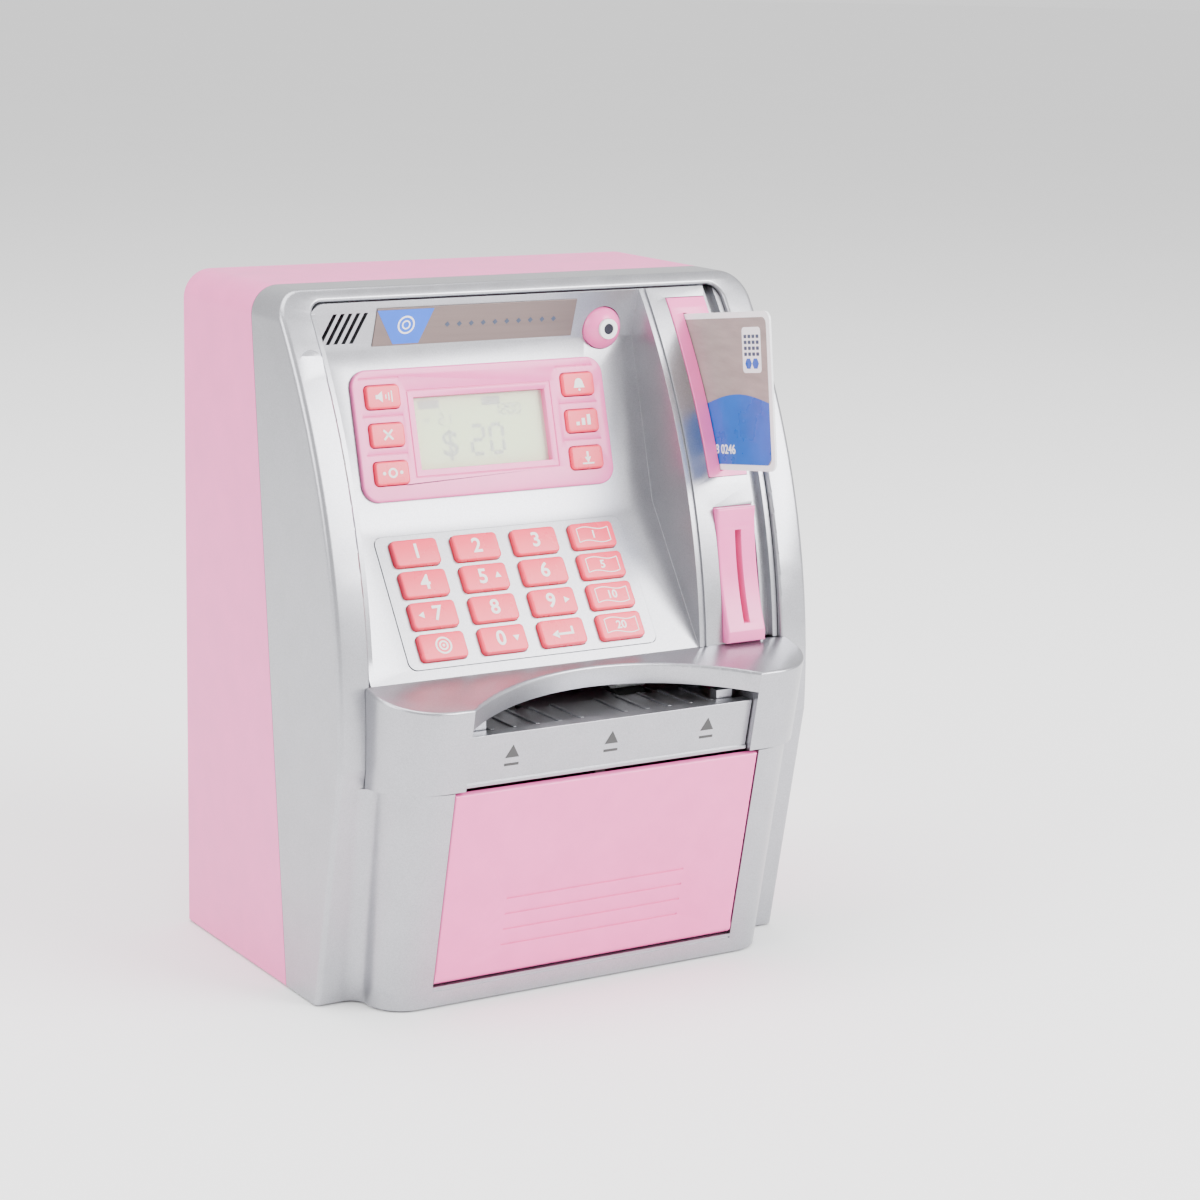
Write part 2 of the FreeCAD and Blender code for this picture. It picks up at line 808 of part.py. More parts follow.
def plate_half_width():
    return (given("keyPitchAcross") * 3 + given("keyWidth")) / 2 + given("plateMargin")


def plate_half_height():
    return (given("keyPitchUp") * 3 + given("keyHeight")) / 2 + given("plateMarginUp")


def key_outline(x, up, width, height, corner, spare=0):
    return rounded(
        x - width / 2 - spare, x + width / 2 + spare, up - height / 2 - spare,
        up + height / 2 + spare, corner + spare,
    )


def key_holes():
    for x, up in key_centres():
        yield key_outline(
            x, up, given("keyWidth"), given("keyHeight"), given("keyCorner"), given("keyClearance")
        )


def side_key_centres():
    """Three function keys each side of the screen window, in the screen seat's frame."""
    reach = given("bezelWidth") / 2 - given("sideKeyInset") - given("sideKeyWidth") / 2
    middle = given("bezelRise") + given("bezelHeight") / 2
    for side in (-1, 1):
        for row in (1, 0, -1):
            yield reach * side, middle + given("sideKeyPitch") * row


def plate_outline(spare=0):
    middle = given("keypadLength") - given("plateMargin") - plate_half_height()
    half = plate_half_width() + spare
    tall = plate_half_height() + spare
    return rounded(-half, half, middle - tall, middle + tall, 3)


def skirt_outline(spare=0):
    inset = given("skirtInset") - spare
    half = given("bezelWidth") / 2 - inset
    low = given("bezelRise") + inset
    return rounded(-half, half, low, low + given("bezelHeight") - inset * 2, 4)


def grille_slots():
    """Five leaning slots at the left of the header, in the header seat's frame."""
    first = -(COLUMN_LEFT + OPENING) / 2 + 4.4
    lean = 4.5
    low = 2.8
    high = low + 10.6
    wide = given("grilleSlotWidth")
    for index in range(5):
        foot = first + given("grillePitch") * index
        yield [(foot, low), (foot + wide, low), (foot + lean + wide, high), (foot + lean, high)]


def camera_spot():
    return COLUMN_LEFT - given("cameraInset"), HEADER.spot[2] + 3.6


def console():
    piece = Piece("console")
    low_front = KEYPAD.spot[1]
    top_back = HEADER.at(up=HEADER_LENGTH)
    back = given("panelWall")
    line = [
        (low_front, CONSOLE_LOW), (SCREEN.spot[1], SCREEN.spot[2]),
        (HEADER.spot[1], HEADER.spot[2]), (top_back[1], CONSOLE_HIGH),
    ]
    behind = [(point[0] + back, point[1]) for point in reversed(line)]
    piece.pad("side", line + behind, GAP - OPENING, COLUMN_LEFT + 0.5)
    face = [(profile(CONSOLE_LOW), CONSOLE_LOW, -PROFILE_RADIUS), (profile(CONSOLE_HIGH), CONSOLE_HIGH)]
    piece.pad("side", face + behind, COLUMN_LEFT, COLUMN_RIGHT)
    channel = strip(CONSOLE_LOW, CONSOLE_HIGH, given("channelDepth"), given("channelDepth") + WALL)
    piece.pad("side", channel, COLUMN_RIGHT - 1, OPENING - GAP)
    edge = OPENING - GAP
    wall_front = [
        (profile(CONSOLE_LOW, 2), CONSOLE_LOW, 2 - PROFILE_RADIUS), (profile(CONSOLE_HIGH, 2), CONSOLE_HIGH),
    ]
    piece.pad("side", wall_front + behind, -edge, 2 - edge)
    piece.pad("side", strip(CONSOLE_LOW, CONSOLE_HIGH, 2, given("channelDepth") + 1), edge - 2, edge)
    inside = 2.2
    hollow = [
        (profile(CONSOLE_LOW + inside, WALL), CONSOLE_LOW + inside, WALL - PROFILE_RADIUS),
        (profile(CONSOLE_HIGH - inside, WALL), CONSOLE_HIGH - inside),
        (HEADER.spot[1] + 12, CONSOLE_HIGH - inside), (HEADER.spot[1] + 12, CONSOLE_LOW + inside),
    ]
    piece.cut("side", hollow, COLUMN_LEFT + inside, COLUMN_RIGHT - inside)
    for start, wide in ((0.0, 1.3), (2.7, 1.0)):
        bead = strip(CONSOLE_LOW, CONSOLE_HIGH, -given("beadHeight"), size(1))
        piece.pad("side", bead, COLUMN_LEFT + start, COLUMN_LEFT + start + wide)
    piece.cut("top", skirt_outline(GAP), -6, 3, SCREEN)
    piece.cut("top", plate_outline(GAP), -1.1, 3, KEYPAD)
    for outline in key_holes():
        piece.cut("top", outline, -6, 3, KEYPAD)
    for outline in grille_slots():
        piece.cut("top", outline, -6, 3, HEADER)
    across, level = camera_spot()
    hole = Round(across, level, given("cameraRadius") + GAP)
    piece.cut("front", hole, HEADER.spot[1] - 10, HEADER.spot[1] + 10)
    for (low, high), wide, middle in column_bezels():
        recess = strip(low - GAP, high + GAP, -4, 1.3)
        reach = wide / 2 + GAP
        piece.cut("side", recess, middle - reach, middle + reach)
        mouth = rectangle(middle - wide / 2 + 3, middle + wide / 2 - 3, low + 1, high - 1)
        piece.cut("front", mouth, FRONT, FRONT + given("topSetback"))
    corner = given("openingRound")
    top = CONSOLE_HIGH
    right = [
        (edge, top - corner, corner), (edge - corner, top), (edge - corner, top + 1),
        (edge + 1, top + 1), (edge + 1, top - corner),
    ]
    left = [
        (corner - edge, top, corner), (-edge, top - corner), (-edge - 1, top - corner),
        (-edge - 1, top + 1), (corner - edge, top + 1),
    ]
    for outline in (right, left):
        piece.cut("front", outline, FRONT, FRONT + 100)
    return piece.body


def column_bezels():
    """The height range, width and middle of the card and coin surrounds."""
    card_middle = COLUMN_RIGHT - 1.2 - given("cardBezelWidth") / 2
    coin_middle = COLUMN_RIGHT - 1.2 - given("coinBezelWidth") / 2
    return (
        (CARD_BEZEL, given("cardBezelWidth"), card_middle),
        (COIN_BEZEL, given("coinBezelWidth"), coin_middle),
    )


def keypad_plate():
    piece = Piece("keypad_plate", KEYPAD)
    piece.pad("top", plate_outline(), -1.0, given("plateProud"))
    for outline in key_holes():
        piece.cut("top", outline, -2, 2)
    return piece.body


def press_key(label, seat, x, up, sizes, levels, flange):
    """A moulded key: a soft-edged cap on a flange that stops it behind the panel."""
    width, height, corner = sizes
    top, stop = levels
    piece = Piece(label, seat.moved(x=x, up=up))
    piece.pad("top", rounded(-width / 2, width / 2, -height / 2, height / 2, corner), stop - 0.5, top)
    piece.soften(lambda edge: all(near(point.z, top) for point in ends(edge)), 0.7)
    wide = width / 2 + flange[0]
    tall = height / 2 + flange[1]
    piece.pad("top", rounded(-wide, wide, -tall, tall, corner), stop - 1, stop)
    return piece.body


KEYPAD_KEYS = [
    "key_one", "key_two", "key_three", "key_note_one",
    "key_four", "key_five", "key_six", "key_note_five",
    "key_seven", "key_eight", "key_nine", "key_note_ten",
    "key_target", "key_zero", "key_enter", "key_note_twenty",
]
SCREEN_KEYS = ["key_sound", "key_clear", "key_set", "key_alarm", "key_balance", "key_withdraw"]


def keypad_keys():
    stop = -(given("panelWall") * cosine(given("keypadTilt"))) - 0.1
    top = given("plateProud") + given("keyProud")
    shape = (given("keyWidth"), given("keyHeight"), given("keyCorner"))
    for label, (x, up) in zip(KEYPAD_KEYS, key_centres()):
        yield press_key(label, KEYPAD, x, up, shape, (top, stop), (given("keyFlange"), size(0.5)))


def screen_keys():
    stop = -given("bezelSkirt") - 0.1
    top = given("bezelProud") + given("sideKeyProud")
    shape = (given("sideKeyWidth"), given("sideKeyHeight"), size(1.5))
    for label, (x, up) in zip(SCREEN_KEYS, side_key_centres()):
        yield press_key(label, SCREEN, x, up, shape, (top, stop), (size(1), given("keyFlange")))


def lcd_bezel():
    piece = Piece("lcd_bezel", SCREEN)
    half = given("bezelWidth") / 2
    low = given("bezelRise")
    high = low + given("bezelHeight")
    proud = given("bezelProud")
    piece.pad("top", rounded(-half, half, low, high, given("bezelCorner")), 0.05, proud)
    piece.soften(lambda edge: all(near(point.z, proud) for point in ends(edge)), 0.7)
    piece.pad("top", skirt_outline(), -given("bezelSkirt"), 0.06)
    piece.cut("top", window_outline(), -4, 4)
    for x, up in side_key_centres():
        hole = key_outline(
            x, up, given("sideKeyWidth"), given("sideKeyHeight"), size(1.5), given("keyClearance")
        )
        piece.cut("top", hole, -4, 4)
    depth = proud - 0.3
    outer = window_outline(2.5)
    for pair in frame_grooves(outer):
        piece.cut("top", pair, depth, 4)
    for x, up in side_key_centres():
        between = up + given("sideKeyPitch") / 2
        line = rectangle(x - 8, x + 7, between - 0.2, between + 0.2)
        piece.cut("top", line, depth, 4)
    return piece.body


def window_outline(spare=0):
    half = given("windowWidth") / 2 + spare
    middle = given("bezelRise") + given("bezelHeight") / 2 - 0.2
    tall = given("windowHeight") / 2 + spare
    return rectangle(-half - 0.8, half - 0.8, middle - tall, middle + tall)


def frame_grooves(outline):
    """Four thin lines that frame the window."""
    left, low = outline[0]
    right, high = outline[2]
    wide = 0.4
    yield rectangle(left, right, low, low + wide)
    yield rectangle(left, right, high - wide, high)
    yield rectangle(left, left + wide, low, high)
    yield rectangle(right - wide, right, low, high)


def lcd_window():
    piece = Piece("lcd_window", SCREEN)
    piece.pad("top", window_outline(-0.1), -1.8, -0.8)
    return piece.body


def lcd_module():
    piece = Piece("lcd_module", SCREEN)
    skirt = -given("bezelSkirt")
    piece.pad("top", window_outline(2), skirt - 2.6, skirt - 0.1)
    piece.pad("top", window_outline(-0.3), skirt - 0.2, skirt + 0.8)
    return piece.body


def boards():
    """The board behind the screen and the board behind the keypad."""
    main = Piece("main_board", SCREEN)
    half = given("bezelWidth") / 2
    main.pad("top", rectangle(-half, half, size(5.5), given("screenLength") - 6), -8.6, -7)
    keys = Piece("keypad_board", KEYPAD)
    high = given("keypadLength") - given("plateMargin")
    middle = high - plate_half_height()
    wide = plate_half_width()
    tall = plate_half_height()
    keys.pad("top", rectangle(-wide, wide, middle - tall + 4.5, middle + tall), -8.2, -6.6)
    return [main.body, keys.body]


def key_mats():
    """The silicone mats that spring the keys: one for the keypad, one for each side of the screen."""
    group = Group("key_mats")
    middle = given("keypadLength") - given("plateMargin") - plate_half_height()
    wide = plate_half_width() - 1
    tall = plate_half_height() - 1.5
    group.box((-wide, wide), (middle - tall, middle + tall), (-6.5, -5.4), KEYPAD)
    reach = given("bezelWidth") / 2 - given("sideKeyInset") - given("sideKeyWidth") / 2
    low = given("bezelRise") + 2
    high = given("bezelRise") + given("bezelHeight") - 2
    for side in (-1, 1):
        middle = reach * side
        group.box((middle - 8, middle + 8), (low, high), (-6.9, -5.8), SCREEN)
    return group.finish()


def name_badge():
    piece = Piece("name_badge", HEADER)
    left = -(COLUMN_LEFT + OPENING) / 2 + given("badgeInset")
    right = left + given("badgeWidth")
    low = size(1.5)
    high = low + given("badgeHeight")
    lean = size(0.6)
    outline = [(left, low), (right, low), (right + lean, high), (left + lean, high)]
    piece.pad("top", outline, 0.02, given("badgeThickness"))
    return piece.body


def camera():
    """The dummy camera: a pink dome with a white ring and a black lens."""
    across, level = camera_spot()
    base = HEADER.spot[1] - 1.6
    radius = given("cameraRadius")
    tall = given("cameraHeight")
    ball = (radius * radius + tall * tall) / (tall * 2)
    dome = Piece("camera_dome")
    dome.pad("front", Round(across, level, radius), base - 0.01, HEADER.spot[1] + 5)
    half = [(across, base), (across, base - tall, ball), (across + radius, base)]
    cap = dome.sketch("top", half, level)
    turn = dome.body.newObject("PartDesign::Revolution", "camera_cap")
    turn.Profile = cap
    turn.ReferenceAxis = (cap, ["Edge1"])
    turn.Angle = 360
    dome.body.Tip = turn
    dome.cut("front", Round(across, level, 3.6), base - tall - 1, base - tall + 1.2)
    ring = Piece("camera_ring")
    ring.pad("front", Round(across, level, 3.5), base - tall - 0.2, base - tall + 1.15)
    ring.cut("front", Round(across, level, 1.9), base - tall - 1, base - tall + 0.6)
    lens = Piece("camera_lens")
    lens.pad("front", Round(across, level, 1.8), base - tall - 0.05, base - tall + 0.6)
    return [dome.body, ring.body, lens.body]


def speaker():
    """A small loudspeaker behind the grille: basket, magnet and cone as one unit."""
    group = Group("speaker")
    across = -OPENING + given("speakerRadius") + 2.5
    level = HEIGHT - WALL - given("speakerRadius") - 2
    face = HEADER.spot[1] + 10
    radius = given("speakerRadius")
    group.rod("y", across, level, radius, face, face + 1.6)
    group.rod("y", across, level, radius - 3, face + 1.5, face + 5)
    group.rod("y", across, level, radius - 5, face + 4.9, face + 8)
    return group.finish()


# ---------------------------------------------------------------------------
# Card reader and coin acceptor
# ---------------------------------------------------------------------------
def card_slot_box(group, spare, low, high):
    half = given("cardThickness") / 2 + spare
    tall = given("cardShort") / 2 + spare
    group.box((-half, half), (-tall, tall), (low, high), CARD, hole=True)


def card_bezel():
    piece = Piece("card_bezel")
    (low, high), wide, middle = column_bezels()[0]
    piece.pad("side", strip(low, high, -0.5, 1.2), middle - wide / 2, middle + wide / 2)
    reach = wide / 2 - 3 - GAP
    throat = strip(low + 1 + GAP, high - 1 - GAP, 1.1, 3)
    piece.pad("side", throat, middle - reach, middle + reach)
    play = given("cardPlay")
    half = given("cardThickness") / 2 + play
    tall = given("cardShort") / 2 + play
    piece.cut("top", rectangle(-half, half, -tall, tall), -90, 5, CARD)
    return piece.body


def card():
    piece = Piece("card", CARD)
    tall = given("cardShort") / 2
    thin = given("cardThickness") / 2
    corner = 3.2
    long = given("cardLong")
    outline = rounded(-tall, tall, -long, size(0), corner)
    piece.pad("side", outline, -thin, thin)
    return piece.body


def card_guide():
    """The pocket that the card slides into, with a stop at its inner end."""
    group = Group("card_guide")
    tall = given("cardShort") / 2 + given("cardPlay") + 2
    back = -given("cardLong") - given("cardTravel") - given("cardPlay")
    mouth = size(-57)
    side = given("cardThickness") / 2 + given("cardPlay")
    group.box((-side - 1.6, side + 1.6), (-tall, tall), (back - 2, mouth), CARD)
    reach = COLUMN_RIGHT - 2.4 - CARD.spot[0]
    left = COLUMN_LEFT + 2.4 - CARD.spot[0]
    group.box((left, reach), (-tall + 4, tall - 4), (mouth - 2, mouth), CARD)
    card_slot_box(group, given("cardPlay"), back, mouth + 1)
    return group.finish()


def coin_bezel():
    piece = Piece("coin_bezel")
    (low, high), wide, middle = column_bezels()[1]
    proud = given("coinBezelProud")
    end = 4
    saddle = 117
    outline = [
        (profile(low) - proud, low), (profile(low) - proud, low + end, saddle),
        (profile(high) - proud, high - end), (profile(high) - proud, high),
        (profile(high, 1.2), high, PROFILE_RADIUS - 1.2), (profile(low, 1.2), low),
    ]
    piece.pad("side", outline, middle - wide / 2, middle + wide / 2)
    piece.soften(lambda edge: saddle_edge(edge, low, high, middle, wide), 0.8)
    reach = wide / 2 - 3 - GAP
    foot = low + 1 + GAP
    head = high - 1 - GAP
    throat = [
        (profile(foot, 1.1), foot, 1.1 - PROFILE_RADIUS), (profile(head, 1.1), head),
        (CHUTE_FRONT - GAP, head), (CHUTE_FRONT - GAP, foot),
    ]
    piece.pad("side", throat, middle - reach, middle + reach)
    slot = given("coinSlotWidth") / 2
    piece.cut("front", rectangle(COIN_X - slot, COIN_X + slot, COIN_LOW, COIN_HIGH), FRONT, FRONT + 60)
    return piece.body


def saddle_edge(edge, low, high, middle, wide):
    """The long edges of the coin surround's curved face."""
    points = ends(edge)
    on_side = all(near(abs(point.x - middle.number), wide / 2) for point in points)
    proud = all(point.y < profile(size(point.z)).number - 1 for point in points)
    return len(points) == 2 and on_side and proud


def coin_chute():
    """Two cheeks and their edge walls, which drop a coin into the cash space."""
    group = Group("coin_chute")
    half = given("coinSlotWidth") / 2 + 0.4
    thick = 1.2
    front_y = CHUTE_FRONT
    drop_y = front_y + 3
    back_y = drop_y + given("coinSlotHeight") + 1
    exit_z = LEDGE - 12
    top = COIN_HIGH + 0.4
    group.box(
        (COIN_X - half - thick, COIN_X + half + thick), (front_y, back_y + thick),
        (COIN_LOW - 0.4 - thick, top + thick),
    )
    group.box(
        (COIN_X - half - thick, COIN_X + half + thick), (drop_y - thick, back_y + thick),
        (exit_z, COIN_LOW),
    )
    group.box(
        (COIN_X - half - thick, COIN_X + half + thick), (back_y, back_y + 9),
        (COIN_LOW - 6, COIN_LOW + 12),
    )
    group.box((COIN_X - half, COIN_X + half), (front_y - 1, back_y), (COIN_LOW - 0.4, top), hole=True)
    group.box((COIN_X - half, COIN_X + half), (drop_y, back_y), (exit_z - 1, COIN_LOW), hole=True)
    window_y = (back_y - 1, back_y + 10)
    group.box((COIN_X - half, COIN_X + half), window_y, (COIN_LOW - 7, COIN_LOW + 8), hole=True)
    pivot = LEVER_PIVOT
    group.rod("x", pivot[0], pivot[1], 1.05, COIN_X - half - thick - 1, COIN_X + half + thick + 1, hole=True)
    return group.finish()


def coin_lever():
    """A sprung finger that each coin pushes aside as it falls."""
    group = Group("coin_lever")
    y, z = LEVER_PIVOT
    half = given("coinSlotWidth") / 2 + 0.1
    group.rod("x", y, z, 1.0, COIN_X - half - 1.5, COIN_X + half + 1.5)
    group.rod("x", y, z, 2.4, COIN_X - half, COIN_X + half)
    group.box((COIN_X - half, COIN_X + half), (y - 9, y), (z - 1.6, z + 0.4))
    return group.finish()


# ---------------------------------------------------------------------------
# Hood, bill tray and feeder
# ---------------------------------------------------------------------------
def arch_radius():
    reach = given("earInner")
    rise = given("archRise")
    return (reach * reach + rise * rise) / (rise * 2)


def cash_hood():
    """The hood over the bill slot: a sloping shelf, two ears and an arched lip."""
    piece = Piece("cash_hood")
    half = given("hoodHalfWidth")
    corner = given("blockRoundTop")
    ear = given("earInner")
    back = (given("hoodReach") + 0.6) / cosine(given("frontSlope"))
    arch = arch_radius()
    outline = [
        (-half, back), (-half, corner, corner), (corner - half, size(0)), (-ear, size(0), -arch),
        (ear, size(0)), (half - corner, size(0), corner), (half, corner), (half, back),
    ]
    piece.pad("top", outline, -36, 0, SHELF)
    piece.soften(shelf_rim_edge, 1.0)
    below = HOOD_SEAM + given("seamGap")
    piece.cut("top", rectangle(-half - 1, half + 1, FRONT - 10, FRONT + 60), below - 20, below)
    behind = [
        (frame_front(below) - 0.3, below - 1), (profile(BEND, -0.2), BEND, -0.2 - PROFILE_RADIUS),
        (profile(LEDGE + 2, -0.2), LEDGE + 2), (FRONT + 60, LEDGE + 2), (FRONT + 60, below - 1),
    ]
    piece.cut("side", behind, -half - 1, half + 1)
    lip = given("archLip")
    skin = 2.2
    piece.cut("top", rectangle(-ear, ear, size(-5), back + 5), -40, -lip, SHELF)
    inner_arch = arch + skin
    reach = ear - 1
    sag = root(inner_arch * inner_arch - reach * reach) - (arch - given("archRise"))
    pocket = [(-reach, sag, -inner_arch), (reach, sag), (reach, back + 1), (-reach, back + 1)]
    piece.cut("top", pocket, -lip - 1, -skin, SHELF)
    for side in (-1, 1):
        near_x = (ear + skin) * side
        far_x = (half - skin) * side
        round_x = (half - corner) * side
        round_size = (corner - skin) * side
        ear_hollow = [
            (near_x, skin), (round_x, skin, round_size), (far_x, corner),
            (far_x, back + 1), (near_x, back + 1),
        ]
        piece.cut("top", ear_hollow, -40, -skin, SHELF)
    return piece.body


def shelf_rim_edge(edge):
    """The front rim of the hood's shelf, from ear to ear."""
    points = ends(edge)
    if len(points) < 2:
        return False
    lean = math.tan(math.radians(given("frontSlope").number))
    on_shelf = all(
        abs(point.z - SHELF_FRONT.number - (point.y - FRONT.number) * lean) < 0.05 for point in points
    )
    back = given("hoodReach").number - 1
    return on_shelf and not all(point.y - FRONT.number > back for point in points)


def tray_front():
    """The pale plate below the bill slot, with a return along its top."""
    piece = Piece("tray_front")
    half = given("earInner") - 0.4
    inset = given("trayRecess")
    low = HOOD_SEAM + 0.6
    thick = 2.2
    outline = [
        (block_plane(low) + inset, low), (block_plane(TRAY_TOP) + inset, TRAY_TOP),
        (block_plane(TRAY_TOP) + inset + 6, TRAY_TOP), (block_plane(TRAY_TOP) + inset + 6, TRAY_TOP - 1.6),
        (block_plane(TRAY_TOP) + inset + thick, TRAY_TOP - 1.6), (block_plane(low) + inset + thick, low),
    ]
    piece.pad("side", outline, -half, half)
    ledge = [
        (block_plane(low) + inset - 0.6, low), (block_plane(low + 1.4) + inset - 0.6, low + 1.4),
        (block_plane(low + 1.4) + inset + 1, low + 1.4), (block_plane(low) + inset + 1, low),
    ]
    piece.pad("side", ledge, -half, half)
    return piece.body


def bill_track():
    """The ribbed bed that a note slides over, with cheeks that carry the rollers."""
    group = Group("bill_track")
    half = given("trackHalfWidth")
    thick = 1.8
    bed_top = TRAY_TOP - 0.6
    start = block_plane(TRAY_TOP) + given("trayRecess") + 6.3
    end = FEED_Y + 12
    group.box((-half, half), (start, end), (bed_top - thick, bed_top))
    for index in range(-5, 6):
        if index:
            middle = size(8.6) * index
            group.box((middle - 0.6, middle + 0.6), (start, FEED_Y - 8), (bed_top - 0.1, TRAY_TOP))
    for side in (-1, 1):
        inner = (half - 1.8) * side
        outer = half * side
        pair = (inner, outer) if side > 0 else (outer, inner)
        group.box(pair, (FEED_Y - 8, end), (FEED_Z - 10, IDLER_Z + 3.4))
        tab = ((half - 7) * side, (half - 0.6) * side)
        pair = tab if side > 0 else (tab[1], tab[0])
        group.box(pair, (start + 0.5, start + 4.5), (bed_top - 0.1, TRAY_TOP + 3))
    motor_plate = (-(half + 8.6), -(half + 7.2))
    group.box(motor_plate, (MOTOR_Y - 11, MOTOR_Y + 11), (FEED_Z - 11, FEED_Z + 11))
    group.box((-(half + 7.3), -(half - 1)), (MOTOR_Y + 7.5, MOTOR_Y + 9.5), (FEED_Z - 10, bed_top - thick))
    group.box((-(half - 0.9), -(half - 3)), (end - 1, MOTOR_Y + 9.5), (FEED_Z - 10, bed_top))
    play = given("shaftRadius") + 0.06
    for level in (FEED_Z, IDLER_Z):
        group.rod("x", FEED_Y, level, play, -(half + 1), half + 1, hole=True)
    window = given("feedRollerRadius") + 1
    for start_x, end_x in roller_spans():
        group.box(
            (start_x - 1, end_x + 1), (FEED_Y - window, FEED_Y + window),
            (bed_top - thick - 1, TRAY_TOP + 1), hole=True,
        )
    shaft_room = given("shaftRadius") + 1.5
    group.box(
        (-(half - 1.9), half - 1.9), (FEED_Y - shaft_room, FEED_Y + shaft_room),
        (bed_top - thick - 1, bed_top - thick + 0.5), hole=True,
    )
    group.rod("x", MOTOR_Y, FEED_Z, 3.2, -(half + 9), -(half + 7), hole=True)
    return group.finish()


def roller_spans():
    """Where the rubber rollers sit along the feed shafts."""
    for middle in (-26, 26):
        yield size(middle - 6), size(middle + 6)


def gear_shape(teeth, module, thickness, middle):
    """A spur gear with straight-sided teeth and running backlash, along +X."""
    pitch = module * teeth / 2
    outer = pitch + module * 0.85
    inner = pitch - module * 1.2
    step = 2 * math.pi / teeth
    points = []
    for index in range(teeth):
        centre = index * step
        for radius, share in ((inner, -0.30), (outer, -0.11), (outer, 0.11), (inner, 0.30)):
            angle = centre + share * step
            points.append(FreeCAD.Vector(0, radius * math.cos(angle), radius * math.sin(angle)))
    points.append(points[0])
    face = Part.Face(Part.makePolygon(points))
    return face.extrude(FreeCAD.Vector(thickness, 0, 0)).translated(FreeCAD.Vector(middle, 0, 0))


def gear(label, teeth, x, y, z, phase, thickness=3.0):
    thing = DOC.addObject("Part::Feature", f"{label}_teeth")
    thing.Shape = gear_shape(int(teeth.number), given("toothModule").number, thickness, 0)
    turn = FreeCAD.Rotation(FreeCAD.Vector(1, 0, 0), phase)
    thing.Placement = FreeCAD.Placement(FreeCAD.Vector(x.number, y.number, z.number), turn)
    return thing


def feeder():
    """The driven shaft with its gear, the rubber rollers, the idler and the motor."""
    half = given("trackHalfWidth")
    shaft = Group("feed_shaft")
    shaft.rod("x", FEED_Y, FEED_Z, given("shaftRadius"), GEAR_X - 0.4, half + 1.2)
    shaft.add(gear("feed_shaft", given("feedTeeth"), GEAR_X, FEED_Y, FEED_Z, 0))
    rollers = Group("feed_rollers")
    idler = Group("idler_shaft")
    idler.rod("x", FEED_Y, IDLER_Z, given("shaftRadius"), -(half + 1), half + 1)
    for start, end in roller_spans():
        rollers.rod("x", FEED_Y, FEED_Z, given("feedRollerRadius"), start, end)
        rollers.rod("x", FEED_Y, FEED_Z, given("shaftRadius"), start - 1, end + 1, hole=True)
        idler.rod("x", FEED_Y, IDLER_Z, given("idlerRollerRadius"), start, end)
    motor = Group("feed_motor")
    face = -(half + 8.6)
    motor.rod("x", MOTOR_Y, FEED_Z, given("motorRadius"), face - given("motorLength"), face)
    motor.rod("x", MOTOR_Y, FEED_Z, 3.0, face - 0.1, face + 1.3)
    motor.rod("x", MOTOR_Y, FEED_Z, 1.05, face - 5, face + 8, hole=True)
    pinion = Group("motor_pinion")
    shaft_play = 1.0
    pinion.rod("x", MOTOR_Y, FEED_Z, shaft_play, face - 4, GEAR_X + 1)
    half_tooth = 180 / SIZES["pinionTeeth"]
    pinion.add(gear("motor_pinion", given("pinionTeeth"), GEAR_X, MOTOR_Y, FEED_Z, half_tooth))
    return [group.finish() for group in (shaft, rollers, idler, motor, pinion)]


# ---------------------------------------------------------------------------
# Door and its latch
# ---------------------------------------------------------------------------
def door():
    piece = Piece("door", DOOR)
    half = given("doorHalfWidth")
    barrel = given("barrelRadius")
    thick = given("doorThickness")
    piece.pad("side", rectangle(size(0), DOOR_TOP, barrel - thick, barrel), -half, half)
    piece.soften(lambda edge: door_face_edge(edge, barrel, half), 0.8)
    piece.pad("side", Round(0, 0, barrel), -half, half)
    piece.pad("side", Round(0, 0, given("hingePinRadius")), -half - 2.2, half + 2.2)
    first = size(17.5)
    for index in range(4):
        level = first - 14.6 + 5.85 * (index + 1)
        piece.cut("top", rectangle(-35, 35, level, level + 0.7), barrel - 0.35, barrel + 1)
    keeper = DOOR_TOP - 6
    piece.pad("side", rectangle(keeper - 3, keeper, size(-8.5), barrel - thick + 0.1), -5, 5)
    piece.cut("side", rectangle(keeper - 4, keeper + 1, size(-6.9), size(-2.1)), -2.9, 2.9)
    return piece.body


def door_face_edge(edge, barrel, half):
    points = ends(edge)
    on_face = all(near(point.z, barrel) for point in points)
    return on_face and not all(near(point.y, 0) for point in points)


def latch():
    """A bolt that drops through the door's keeper, and the drive that lifts it."""
    x, y, z = DOOR.at(up=DOOR_TOP - 6, out=-4.5)
    top = TRAY_TOP - 3.2
    bolt = Group("latch_bolt")
    bolt.box((-2, 2), (y - 1.5, y + 1.5), (z + 2.2, top - 2))
    housing = Group("latch_housing")
    housing.box((-9, 9), (y - 4, y + 9), (z + 6, TRAY_TOP - 2.5))
    housing.box((-2.3, 2.3), (y - 1.8, y + 1.8), (z + 5, top - 1.4), hole=True)
    return [bolt.finish(), housing.finish()]


